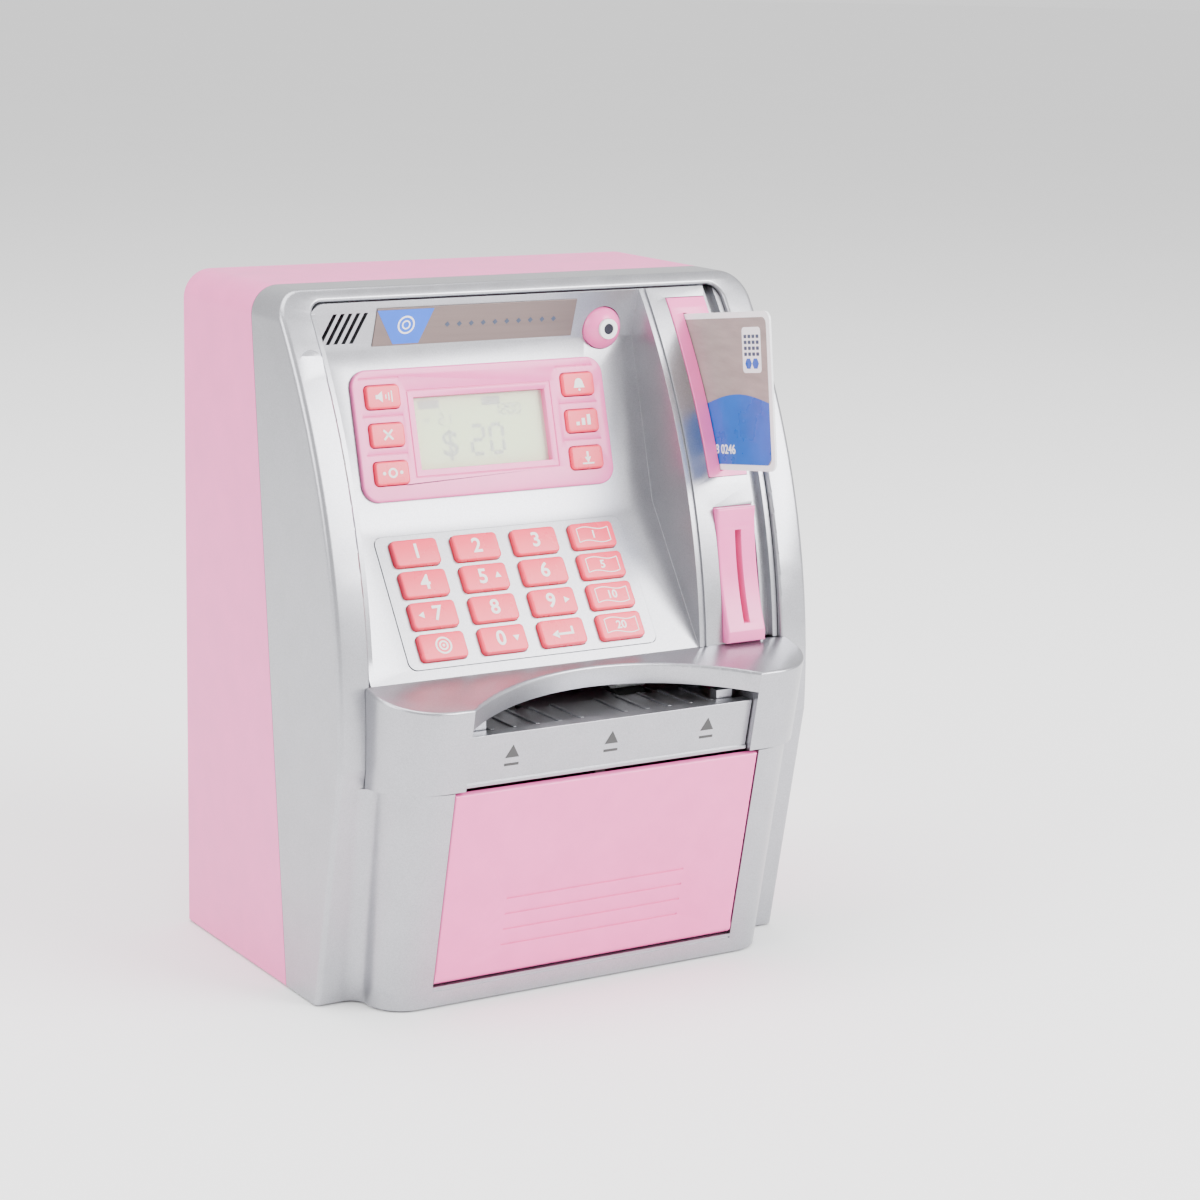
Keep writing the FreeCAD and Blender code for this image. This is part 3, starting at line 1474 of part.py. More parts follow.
# ---------------------------------------------------------------------------
# Batteries, feet and screws
# ---------------------------------------------------------------------------
def battery_parts():
    half_x = BATTERY_HALF_X
    half_z = BATTERY_HALF_Z
    rim = REAR - WALL - 3.5
    base = REAR - WALL - given("batteryDepth") - 1.6
    box = Group("battery_box")
    box.box((-half_x - 1.6, half_x + 1.6), (base, rim), (BATTERY_Z - half_z - 1.6, BATTERY_Z + half_z + 1.6))
    box.box((-half_x, half_x), (base + 1.6, rim + 1), (BATTERY_Z - half_z, BATTERY_Z + half_z), hole=True)
    cells = Group("batteries")
    plates = Group("battery_contacts")
    radius = given("cellRadius")
    middle_y = base + 1.8 + radius
    low = BATTERY_Z - given("cellLength") / 2
    high = BATTERY_Z + given("cellLength") / 2
    for index in (-1, 0, 1):
        x = given("cellPitch") * index
        cells.rod("z", x, middle_y, radius, low, high)
        nub = (high - 0.1, high + 1.4) if index else (low - 1.4, low + 0.1)
        cells.rod("z", x, middle_y, 2.7, *nub)
        for wall_z, inward in ((BATTERY_Z - half_z, 1), (BATTERY_Z + half_z, -1)):
            span = (wall_z + 0.05, wall_z + 0.5) if inward > 0 else (wall_z - 0.5, wall_z - 0.05)
            plates.box((x - 5, x + 5), (middle_y - 4, middle_y + 4), span)
            sprung = (inward > 0) == bool(index)
            if sprung:
                coil = (wall_z + 0.4, low - 0.1) if inward > 0 else (high + 0.1, wall_z - 0.4)
                plates.rod("z", x, middle_y, 2.4, *coil)
    cover = Group("battery_cover")
    edge = 0.35
    low_edge = BATTERY_Z - half_z + edge
    cover.box(
        (-half_x + GAP + edge, half_x - GAP - edge), (REAR - 2, REAR),
        (low_edge, BATTERY_Z + half_z - edge),
    )
    for side in (-1, 1):
        middle = size(13) * side
        cover.box((middle - 4, middle + 4), (REAR - WALL - 1.5, REAR - 1.9), (low_edge, low_edge + 2))
        tab_y = (REAR - WALL - 1.5, REAR - WALL - 0.4)
        cover.box((middle - 4, middle + 4), tab_y, (low_edge - 3, low_edge + 0.1))
    cover.box((-6, 6), (REAR - 3.2, REAR - 1.9), (BATTERY_Z + half_z - 3.5, BATTERY_Z + half_z - edge))
    for index in range(4):
        level = BATTERY_Z + half_z - 14 + size(2.2) * index
        cover.box((-9, 9), (REAR - 0.5, REAR + 1), (level, level + 0.9), hole=True)
    return [group.finish() for group in (box, cells, plates, cover)]


def feet():
    group = Group("feet")
    for side in (-1, 1):
        group.rod("z", FEET_X * side, REAR - 13, given("footRadius"), 0, given("footThickness"))
        group.rod(
            "z", (FEET_X - 8) * side, FRONT + given("baseSetback") + 8, given("footRadius"), 0,
            given("footThickness"),
        )
    return group.finish()


def screws():
    group = Group("casing_screws")
    for level in SCREW_Z:
        for side in (-1, 1):
            across = SCREW_X * side
            seat = seam(level) + BOSS_FLOOR
            group.rod("y", across, level, given("screwRadius") - 0.01, seam(level) - 9, seat + 0.1)
            group.rod("y", across, level, given("screwHeadRadius"), seat, seat + 2.2)
            slot_y = (seat + 1.4, seat + 3)
            group.box((across - 1.8, across + 1.8), slot_y, (level - 0.35, level + 0.35), hole=True)
    return group.finish()


# ---------------------------------------------------------------------------
# Build, test and write
# ---------------------------------------------------------------------------
def build_all():
    parts = [rear_casing(), front_frame(), console(), keypad_plate(), lcd_bezel(), lcd_window()]
    parts += [lcd_module(), key_mats(), name_badge(), speaker(), card_bezel(), card()]
    parts += [card_guide(), coin_bezel(), coin_chute(), coin_lever(), cash_hood(), tray_front()]
    parts += [bill_track(), door(), feet(), screws()]
    for several in (boards(), camera(), feeder(), latch(), battery_parts()):
        parts += several
    parts += list(keypad_keys())
    parts += list(screen_keys())
    return parts


def main():
    parts = build_all()
    DOC.recompute()
    for thing in DOC.Objects:
        if "Invalid" in thing.State or "Error" in thing.State:
            raise RuntimeError(f"{thing.Label} failed: {thing.State}")
    for part in parts:
        shape = part.Shape
        if shape.isNull() or not shape.isValid() or not shape.Solids:
            raise RuntimeError(f"{part.Label} has no valid shape")
    os.makedirs("parts", exist_ok=True)
    for part in parts:
        part.Shape.exportStep(f"parts/{part.Label}.step")
    print(f"{len(parts)} pieces written")


main()
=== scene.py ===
import json
import logging
import math
from dataclasses import dataclass, field
from enum import Enum
from typing import Callable, Iterable, Sequence

import bmesh
import bpy
from mathutils import Matrix, Vector


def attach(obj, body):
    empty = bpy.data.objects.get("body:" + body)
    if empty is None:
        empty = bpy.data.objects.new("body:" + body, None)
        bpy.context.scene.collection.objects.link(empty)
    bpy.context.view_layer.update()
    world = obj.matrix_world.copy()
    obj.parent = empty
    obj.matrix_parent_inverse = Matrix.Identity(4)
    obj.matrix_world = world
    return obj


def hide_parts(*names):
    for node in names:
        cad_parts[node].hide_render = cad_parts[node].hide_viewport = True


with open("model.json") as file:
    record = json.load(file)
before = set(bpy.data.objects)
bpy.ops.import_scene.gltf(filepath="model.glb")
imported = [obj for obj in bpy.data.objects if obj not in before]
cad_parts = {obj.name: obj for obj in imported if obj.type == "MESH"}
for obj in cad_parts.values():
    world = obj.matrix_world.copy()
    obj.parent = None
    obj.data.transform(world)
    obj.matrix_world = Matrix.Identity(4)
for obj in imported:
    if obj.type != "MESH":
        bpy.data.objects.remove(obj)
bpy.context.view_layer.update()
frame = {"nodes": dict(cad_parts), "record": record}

LOG = logging.getLogger("toy_bank")
MM = 0.001
RIGHT = Vector((1, 0, 0))
MERGE = 0.002 * MM
FLAT_DEGREES = 0.6
SHARP_DEGREES = 32.0
SIDEWAYS = 0.9
WIDE_SHARE = 0.3
Outline = Sequence[tuple[float, float]]


class Slot(Enum):
    """Some of the record's material slots, listed by name."""

    FRAME = "silver_frame"
    KEYS = "key_caps"
    SCREEN = "screen"
    BADGE = "badge"
    CARD = "card_print"


# --------------------------------------------------------------------------- finishes
@dataclass(frozen=True)
class Finish:
    """A moulded, painted or printed surface with its own grain and small unevenness."""

    name: str
    colour: tuple[float, float, float]
    shade: float = 0.93
    metallic: float = 0.0
    smooth: float = 0.28
    rough: float = 0.4
    mottle: float = 90.0
    grain: float = 2600.0
    bump: float = 0.06
    coat: float = 0.0
    subsurface: float = 0.0
    alpha: float = 1.0
    specular: float = 0.5
    stretch: tuple[float, float, float] = (1.0, 1.0, 1.0)

    def material(self) -> bpy.types.Material:
        """The Blender material, made once.

        Returns:
            The material with this finish's name.
        """
        made = bpy.data.materials.get(self.name)
        if made:
            return made
        made = bpy.data.materials.new(self.name)
        made.use_nodes = True
        nodes = made.node_tree.nodes
        links = made.node_tree.links
        shader = nodes["Principled BSDF"]
        shader.inputs["Metallic"].default_value = self.metallic
        shader.inputs["Coat Weight"].default_value = self.coat
        shader.inputs["Coat Roughness"].default_value = 0.18
        shader.inputs["Subsurface Weight"].default_value = self.subsurface
        shader.inputs["Subsurface Radius"].default_value = (0.004, 0.002, 0.0015)
        shader.inputs["Alpha"].default_value = self.alpha
        shader.inputs["Specular IOR Level"].default_value = self.specular
        place = nodes.new("ShaderNodeTexCoord")
        turn = nodes.new("ShaderNodeMapping")
        turn.inputs["Scale"].default_value = self.stretch
        links.new(place.outputs["Object"], turn.inputs["Vector"])
        cloud = nodes.new("ShaderNodeTexNoise")
        cloud.inputs["Scale"].default_value = self.mottle
        cloud.inputs["Detail"].default_value = 4.0
        links.new(turn.outputs["Vector"], cloud.inputs["Vector"])
        tint = nodes.new("ShaderNodeValToRGB")
        dark = tuple(channel * self.shade for channel in self.colour)
        tint.color_ramp.elements[0].color = (*dark, 1.0)
        tint.color_ramp.elements[0].position = 0.3
        tint.color_ramp.elements[1].color = (*self.colour, 1.0)
        tint.color_ramp.elements[1].position = 0.7
        links.new(cloud.outputs["Fac"], tint.inputs["Fac"])
        self.colour_from(nodes, links, tint, turn, shader)
        spread = nodes.new("ShaderNodeMapRange")
        spread.inputs["To Min"].default_value = self.smooth
        spread.inputs["To Max"].default_value = self.rough
        links.new(cloud.outputs["Fac"], spread.inputs["Value"])
        links.new(spread.outputs["Result"], shader.inputs["Roughness"])
        fine = nodes.new("ShaderNodeTexNoise")
        fine.inputs["Scale"].default_value = self.grain
        fine.inputs["Detail"].default_value = 2.0
        links.new(turn.outputs["Vector"], fine.inputs["Vector"])
        relief = nodes.new("ShaderNodeBump")
        relief.inputs["Strength"].default_value = self.bump
        relief.inputs["Distance"].default_value = 0.0002
        links.new(fine.outputs["Fac"], relief.inputs["Height"])
        links.new(relief.outputs["Normal"], shader.inputs["Normal"])
        return made

    def colour_from(
        self,
        nodes: bpy.types.Nodes,
        links: bpy.types.NodeLinks,
        tint: bpy.types.Node,
        turn: bpy.types.Node,
        shader: bpy.types.Node,
    ) -> None:
        """Send the tinted colour to the shader."""
        links.new(tint.outputs["Color"], shader.inputs["Base Color"])


@dataclass(frozen=True)
class FlakePaint(Finish):
    """Silver paint whose metal flakes vary the brightness from point to point."""

    flake: float = 3800.0

    def colour_from(
        self,
        nodes: bpy.types.Nodes,
        links: bpy.types.NodeLinks,
        tint: bpy.types.Node,
        turn: bpy.types.Node,
        shader: bpy.types.Node,
    ) -> None:
        """Mix bright and dull flakes into the tinted colour."""
        cells = nodes.new("ShaderNodeTexVoronoi")
        cells.inputs["Scale"].default_value = self.flake
        links.new(turn.outputs["Vector"], cells.inputs["Vector"])
        level = nodes.new("ShaderNodeMapRange")
        level.inputs["To Min"].default_value = 0.86
        level.inputs["To Max"].default_value = 1.1
        links.new(cells.outputs["Color"], level.inputs["Value"])
        blend = nodes.new("ShaderNodeMix")
        blend.data_type = "RGBA"
        blend.blend_type = "MULTIPLY"
        blend.inputs["Factor"].default_value = 1.0
        links.new(tint.outputs["Color"], blend.inputs[6])
        links.new(level.outputs["Result"], blend.inputs[7])
        links.new(blend.outputs[2], shader.inputs["Base Color"])


@dataclass(frozen=True)
class TracedBoard(Finish):
    """A circuit board: solder mask over a web of copper tracks."""

    track: tuple[float, float, float] = (0.16, 0.42, 0.2)

    def colour_from(
        self,
        nodes: bpy.types.Nodes,
        links: bpy.types.NodeLinks,
        tint: bpy.types.Node,
        turn: bpy.types.Node,
        shader: bpy.types.Node,
    ) -> None:
        """Lay lighter tracks over the tinted colour."""
        tracks = nodes.new("ShaderNodeTexBrick")
        tracks.inputs["Scale"].default_value = 140.0
        tracks.inputs["Mortar Size"].default_value = 0.04
        tracks.inputs["Mortar"].default_value = (*self.track, 1.0)
        links.new(turn.outputs["Vector"], tracks.inputs["Vector"])
        links.new(tint.outputs["Color"], tracks.inputs["Color1"])
        links.new(tint.outputs["Color"], tracks.inputs["Color2"])
        links.new(tracks.outputs["Color"], shader.inputs["Base Color"])


PINK_CASING = Finish("casing_pink", (0.88, 0.17, 0.45), smooth=0.3, rough=0.42, subsurface=0.04, bump=0.1)
PINK_TRIM = Finish("trim_pink", (0.96, 0.16, 0.46), smooth=0.2, rough=0.3, subsurface=0.05, coat=0.25)
KEY_PINK = Finish("key_pink", (0.98, 0.035, 0.10), smooth=0.22, rough=0.34, subsurface=0.06, coat=0.15)
SILVER = FlakePaint(
    "silver_paint", (0.42, 0.42, 0.45), metallic=0.92, smooth=0.27, rough=0.36, coat=0.25, bump=0.08,
)
COIN_AMBER = Finish("coin_amber", (0.50, 0.22, 0.09), smooth=0.3, rough=0.45)
BADGE = Finish(
    "badge_brushed", (0.20, 0.15, 0.14), metallic=0.5, smooth=0.28, rough=0.45, shade=0.88,
    mottle=40.0, grain=900.0, bump=0.1, stretch=(0.6, 14.0, 14.0),
)
BLUE_FOIL = Finish("badge_blue", (0.0, 0.12, 0.75), smooth=0.3, rough=0.4, coat=0.1)
WHITE_PRINT = Finish("white_print", (0.88, 0.88, 0.88), shade=0.97, smooth=0.35, rough=0.5)
GREY_PRINT = Finish("grey_print", (0.05, 0.07, 0.12), smooth=0.35, rough=0.5)
WHITE_PLASTIC = Finish("white_plastic", (0.80, 0.80, 0.79), smooth=0.35, rough=0.5)
BLACK_PLASTIC = Finish("black_plastic", (0.02, 0.02, 0.022), shade=0.7, smooth=0.4, rough=0.6)
BLACK_GLOSS = Finish("black_gloss", (0.008, 0.008, 0.01), shade=0.8, smooth=0.04, rough=0.1, coat=1.0)
SCREEN = Finish(
    "screen_green", (0.80, 0.98, 0.34), shade=0.9, smooth=0.7, rough=0.9, mottle=18.0, specular=0.1,
)
INK = Finish("screen_ink", (0.004, 0.012, 0.02), shade=0.8, smooth=0.9, rough=1.0, specular=0.0)
WINDOW = Finish(
    "clear_window", (0.98, 1.0, 0.97), shade=0.99, smooth=0.02, rough=0.05, bump=0.0, alpha=0.1,
)
SILICONE = Finish("silicone", (0.55, 0.55, 0.54), smooth=0.5, rough=0.65, subsurface=0.1)
RUBBER = Finish("rubber", (0.03, 0.03, 0.03), shade=0.75, smooth=0.6, rough=0.8, bump=0.2)
STEEL = Finish("plain_steel", (0.52, 0.52, 0.53), metallic=1.0, smooth=0.25, rough=0.45, stretch=(1, 6, 1))
CELL = Finish("cell_wrap", (0.05, 0.06, 0.08), smooth=0.25, rough=0.35, coat=0.4)
BOARD = TracedBoard("circuit_board", (0.02, 0.12, 0.04), smooth=0.3, rough=0.45)
CARD_BROWN = Finish("card_brown", (0.34, 0.28, 0.26), shade=0.8, smooth=0.3, rough=0.42, stretch=(1, 1, 5))
CARD_BLUE = Finish("card_blue", (0.0, 0.11, 0.50), shade=0.8, smooth=0.22, rough=0.34, coat=0.3)
CARD_WHITE = Finish("card_white", (0.86, 0.86, 0.88), shade=0.97, smooth=0.25, rough=0.35, coat=0.3)

SLOT_FINISH = {
    "pink_casing": PINK_CASING, "silver_frame": SILVER, "silver_console": SILVER,
    "pink_trim": PINK_TRIM, "key_caps": KEY_PINK, "clear_window": WINDOW,
    "screen": SCREEN, "silicone": SILICONE, "badge": BADGE, "black_plastic": BLACK_PLASTIC,
    "white_plastic": WHITE_PLASTIC, "card_print": CARD_WHITE, "rubber_pad": RUBBER,
    "screw_steel": STEEL, "circuit_board": BOARD, "black_gloss": BLACK_GLOSS,
    "motor_steel": STEEL, "cell_wrap": CELL,
}


# --------------------------------------------------------------------------- frame look-ups
def node_slot(node: str) -> str:
    """The material slot that the record gives a CAD node."""
    for entry in frame["record"]["subparts"]:
        if entry["node"] == node:
            return entry["material_slot"]
    raise KeyError(node)


def node_body(node: str) -> str:
    """The body that a CAD node belongs to."""
    for body, members in frame["record"]["behaviour"]["bodies"].items():
        if node in members:
            return body
    raise KeyError(node)


def slide_axis(body: str) -> Vector:
    """The way a body slides, or straight back if it doesn't."""
    for joint in frame["record"]["behaviour"]["joints"]:
        if joint["child"] == body and joint["type"] == "slide":
            return Vector(joint["axis"]).normalized()
    return Vector((0, 1, 0))


@dataclass
class Seat:
    """A flat place on a CAD node: x to the right, up along the face and out of it."""

    origin: Vector
    up: Vector
    out: Vector
    across: Vector = field(default_factory=lambda: RIGHT.copy())
    width: float = 0.0
    height: float = 0.0

    @classmethod
    def on(cls, node: str, facing: Vector) -> "Seat":
        """The foremost of a node's wide flat faces that face a way.

        Args:
            node: The CAD node.
            facing: Roughly the way the face looks.

        Returns:
            A seat at the middle of that face.
        """
        mesh = frame["nodes"][node].data
        joint = slide_axis(node_body(node))
        faces: dict[tuple[float, ...], list[bpy.types.MeshPolygon]] = {}
        for polygon in mesh.polygons:
            if polygon.normal.dot(facing) > 0.5:
                level = round(polygon.center.dot(polygon.normal) / MM, 1)
                key = (*(round(value, 2) for value in polygon.normal), level)
                faces.setdefault(key, []).append(polygon)
        areas = {key: sum(polygon.area for polygon in group) for key, group in faces.items()}
        wide = [key for key in faces if areas[key] > WIDE_SHARE * max(areas.values())]
        largest = faces[max(wide, key=lambda key: key[-1])]
        out = largest[0].normal.normalized()
        across = RIGHT if abs(out.x) < SIDEWAYS else joint * math.copysign(1, out.x)
        up = out.cross(across).normalized()
        across = up.cross(out).normalized()
        face = [mesh.vertices[index].co for polygon in largest for index in polygon.vertices]
        reach = max(point.dot(out) for point in face)
        low_x, high_x = min(p.dot(across) for p in face), max(p.dot(across) for p in face)
        low_up, high_up = min(p.dot(up) for p in face), max(p.dot(up) for p in face)
        middle = across * (low_x + high_x) / 2 + up * (low_up + high_up) / 2 + out * reach
        return cls(middle, up, out, across, high_x - low_x, high_up - low_up)

    def matrix(self, x: float = 0.0, up: float = 0.0, out: float = 0.0, turn: float = 0.0) -> Matrix:
        """The placing of a flat shape on this seat.

        Args:
            x: Millimetres to the right.
            up: Millimetres up the face.
            out: Millimetres off the face.
            turn: Degrees anticlockwise.

        Returns:
            The matrix from the seat's millimetres to the part's metres.
        """
        axes = Matrix((self.across, self.up, self.out)).transposed().to_4x4()
        spot = self.origin + (self.across * x + self.up * up + self.out * out) * MM
        return (
            Matrix.Translation(spot) @ axes @ Matrix.Rotation(math.radians(turn), 4, "Z")
            @ Matrix.Scale(MM, 4)
        )


# --------------------------------------------------------------------------- mesh work
def finished(
    name: str, mesh: bmesh.types.BMesh, finish: Finish, body: str
) -> bpy.types.Object:
    """Turn a bmesh into a piece with its finish and body.

    Args:
        name: The piece's name.
        mesh: The shape, already in the part's metres.
        finish: The surface.
        body: The CAD body it rides on.

    Returns:
        The new object.
    """
    data = bpy.data.meshes.new(name)
    mesh.to_mesh(data)
    mesh.free()
    data.materials.append(finish.material())
    piece = bpy.data.objects.new(name, data)
    bpy.context.collection.objects.link(piece)
    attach(piece, body)
    LOG.info("made %s", name)
    return piece


def smooth_by_angle(mesh: bmesh.types.BMesh, degrees: float = 30.0) -> None:
    """Smooth the faces and keep edges over an angle sharp."""
    for face in mesh.faces:
        face.smooth = True
    for edge in mesh.edges:
        edge.smooth = len(edge.link_faces) == 2 and edge.calc_face_angle(0.0) < math.radians(degrees)


def softened(node: str, width: float) -> bpy.types.Object:
    """A copy of a CAD node with its hard edges rounded, which stands for the node.

    Args:
        node: The CAD node to copy.
        width: The rounding in millimetres.

    Returns:
        The new object.
    """
    mesh = bmesh.new()
    mesh.from_mesh(frame["nodes"][node].data)
    bmesh.ops.remove_doubles(mesh, verts=mesh.verts, dist=MERGE)
    bmesh.ops.dissolve_limit(
        mesh, angle_limit=math.radians(FLAT_DEGREES), verts=mesh.verts, edges=mesh.edges, delimit=set()
    )
    wide = [face for face in mesh.faces if len(face.verts) > 4]
    bmesh.ops.triangulate(mesh, faces=wide, quad_method="BEAUTY", ngon_method="BEAUTY")
    smooth_by_angle(mesh, SHARP_DEGREES)
    slot = node_slot(node)
    body = node_body(node)
    piece = finished(f"{node}_shell", mesh, SLOT_FINISH[slot], body)
    bevel = piece.modifiers.new("rounding", "BEVEL")
    bevel.width = width * MM
    bevel.segments = 3
    bevel.limit_method = "ANGLE"
    bevel.angle_limit = math.radians(SHARP_DEGREES)
    bevel.use_clamp_overlap = True
    bevel.harden_normals = True
    bevel.miter_outer = "MITER_ARC"
    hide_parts(node)
    return piece


def plate(outline: Outline, thickness: float, place: Matrix, soft: float = 0.0) -> bmesh.types.BMesh:
    """A thin plate in millimetres from an outline, set on a seat.

    Args:
        outline: Corners in order, anticlockwise, in millimetres.
        thickness: How far it stands off the seat.
        place: The seat's matrix.
        soft: The rounding of its top edge.

    Returns:
        The plate's bmesh in the part's metres.
    """
    mesh = bmesh.new()
    face = mesh.faces.new([mesh.verts.new((x, y, 0.0)) for x, y in outline])
    raised = bmesh.ops.extrude_face_region(mesh, geom=[face])
    top = [item for item in raised["geom"] if isinstance(item, bmesh.types.BMVert)]
    bmesh.ops.translate(mesh, verts=top, vec=(0, 0, thickness))
    if soft:
        rim = [e for e in mesh.edges if all(v in top for v in e.verts)]
        bmesh.ops.bevel(
            mesh, geom=rim, offset=soft, offset_type="OFFSET", segments=2, profile=0.5,
            affect="EDGES", material=-1, clamp_overlap=True,
        )
    bmesh.ops.transform(mesh, matrix=place, verts=mesh.verts)
    bmesh.ops.recalc_face_normals(mesh, faces=mesh.faces)
    smooth_by_angle(mesh)
    return mesh


def joined(meshes: Iterable[bmesh.types.BMesh]) -> bmesh.types.BMesh:
    """Put several shapes in one bmesh."""
    whole = bmesh.new()
    for mesh in meshes:
        held = bpy.data.meshes.new("held")
        mesh.to_mesh(held)
        mesh.free()
        whole.from_mesh(held)
        bpy.data.meshes.remove(held)
    return whole


def box_outline(x: float, up: float, width: float, height: float, lean: float = 0.0) -> Outline:
    """A rectangle about a middle, whose top leans to the right.

    Args:
        x: The middle, to the right.
        up: The middle, up the face.
        width: Its width.
        height: Its height.
        lean: How far the top leans.

    Returns:
        The corners, anticlockwise.
    """
    half, tall = width / 2, height / 2
    return [
        (x - half - lean / 2, up - tall), (x + half - lean / 2, up - tall),
        (x + half + lean / 2, up + tall), (x - half + lean / 2, up + tall),
    ]


def round_outline(x: float, up: float, radius: float, steps: int = 28) -> Outline:
    """A circle about a middle.

    Args:
        x: The middle, to the right.
        up: The middle, up the face.
        radius: Its radius.
        steps: How many sides stand for the circle.

    Returns:
        The points, anticlockwise.
    """
    turn = 2 * math.pi / steps
    return [(x + radius * math.cos(turn * i), up + radius * math.sin(turn * i)) for i in range(steps)]


def soft_outline(x: float, up: float, width: float, height: float, corner: float) -> Outline:
    """A rectangle about a middle with rounded corners.

    Args:
        x: The middle, to the right.
        up: The middle, up the face.
        width: Its width.
        height: Its height.
        corner: The corners' radius.

    Returns:
        The points, anticlockwise.
    """
    points = []
    for index in range(4):
        side = 1 if index in (0, 3) else -1
        rise = 1 if index < 2 else -1
        for step in range(6):
            angle = math.radians(90 * index + 18 * step)
            points.append((
                x + side * (width / 2 - corner) + corner * math.cos(angle),
                up + rise * (height / 2 - corner) + corner * math.sin(angle),
            ))
    return points


def arrow_outline(x: float, up: float, size: float, degrees: float) -> Outline:
    """A small triangle that points at an angle, 0 being to the right.

    Args:
        x: The middle, to the right.
        up: The middle, up the face.
        size: From the middle to a point.
        degrees: The way it points.

    Returns:
        The three corners.
    """
    turns = [math.radians(degrees + 120 * index) for index in range(3)]
    return [(x + size * math.cos(turn), up + size * math.sin(turn)) for turn in turns]


def ring(
    x: float, up: float, outer: float, inner: float, thickness: float, place: Matrix
) -> bmesh.types.BMesh:
    """A flat ring, spun from its section.

    Args:
        x: The middle, to the right.
        up: The middle, up the face.
        outer: The outer radius.
        inner: The inner radius.
        thickness: How far it stands off the seat.
        place: The seat's matrix.

    Returns:
        The ring's bmesh in the part's metres.
    """
    mesh = bmesh.new()
    corners = ((inner, 0), (outer, 0), (outer, thickness), (inner, thickness))
    section = [mesh.verts.new((x + radius, up, z)) for radius, z in corners]
    edges = [mesh.edges.new((section[i], section[(i + 1) % 4])) for i in range(4)]
    bmesh.ops.spin(
        mesh, geom=section + edges, cent=(x, up, 0), axis=(0, 0, 1), angle=2 * math.pi, steps=32,
        use_merge=True, use_duplicate=False,
    )
    bmesh.ops.transform(mesh, matrix=place, verts=mesh.verts)
    bmesh.ops.recalc_face_normals(mesh, faces=mesh.faces)
    smooth_by_angle(mesh)
    return mesh


def digits(
    text: str, size: float, thickness: float, place: Matrix, weight: float = 0.02
) -> bmesh.types.BMesh:
    """Numbers as a raised print.

    Args:
        text: The digits.
        size: Their nominal height in millimetres.
        thickness: How far they stand off the seat.
        place: The seat's matrix.
        weight: How much the strokes are thickened.

    Returns:
        The bmesh in the part's metres.
    """
    curve = bpy.data.curves.new("digits", "FONT")
    curve.body = text
    curve.size = size
    curve.offset = weight * size
    curve.extrude = thickness / 2
    curve.resolution_u = 4
    curve.align_x = "CENTER"
    curve.align_y = "CENTER"
    holder = bpy.data.objects.new("digits", curve)
    bpy.context.collection.objects.link(holder)
    bpy.context.view_layer.update()
    made = bpy.data.meshes.new_from_object(holder.evaluated_get(bpy.context.evaluated_depsgraph_get()))
    mesh = bmesh.new()
    mesh.from_mesh(made)
    bpy.data.objects.remove(holder)
    bpy.data.curves.remove(curve)
    bpy.data.meshes.remove(made)
    bmesh.ops.remove_doubles(mesh, verts=mesh.verts, dist=0.001)
    bmesh.ops.translate(mesh, verts=mesh.verts, vec=(0, 0, thickness / 2))
    bmesh.ops.transform(mesh, matrix=place, verts=mesh.verts)
    bmesh.ops.recalc_face_normals(mesh, faces=mesh.faces)
    return mesh


# --------------------------------------------------------------------------- sub-assemblies
@dataclass
class Casing:
    """The outer shells, the hood, the door and their trims, with rounded edges."""

    edge: float = 0.5
    fine_edge: float = 0.25

    def build(self) -> None:
        """Make the softened shells."""
        for node in ("rear_casing", "front_frame", "cash_hood", "door"):
            softened(node, self.edge)
        trims = ("console", "tray_front", "lcd_bezel", "card_bezel", "coin_bezel")
        for node in (*trims, "bill_track", "camera_dome", "battery_cover"):
            softened(node, self.fine_edge)


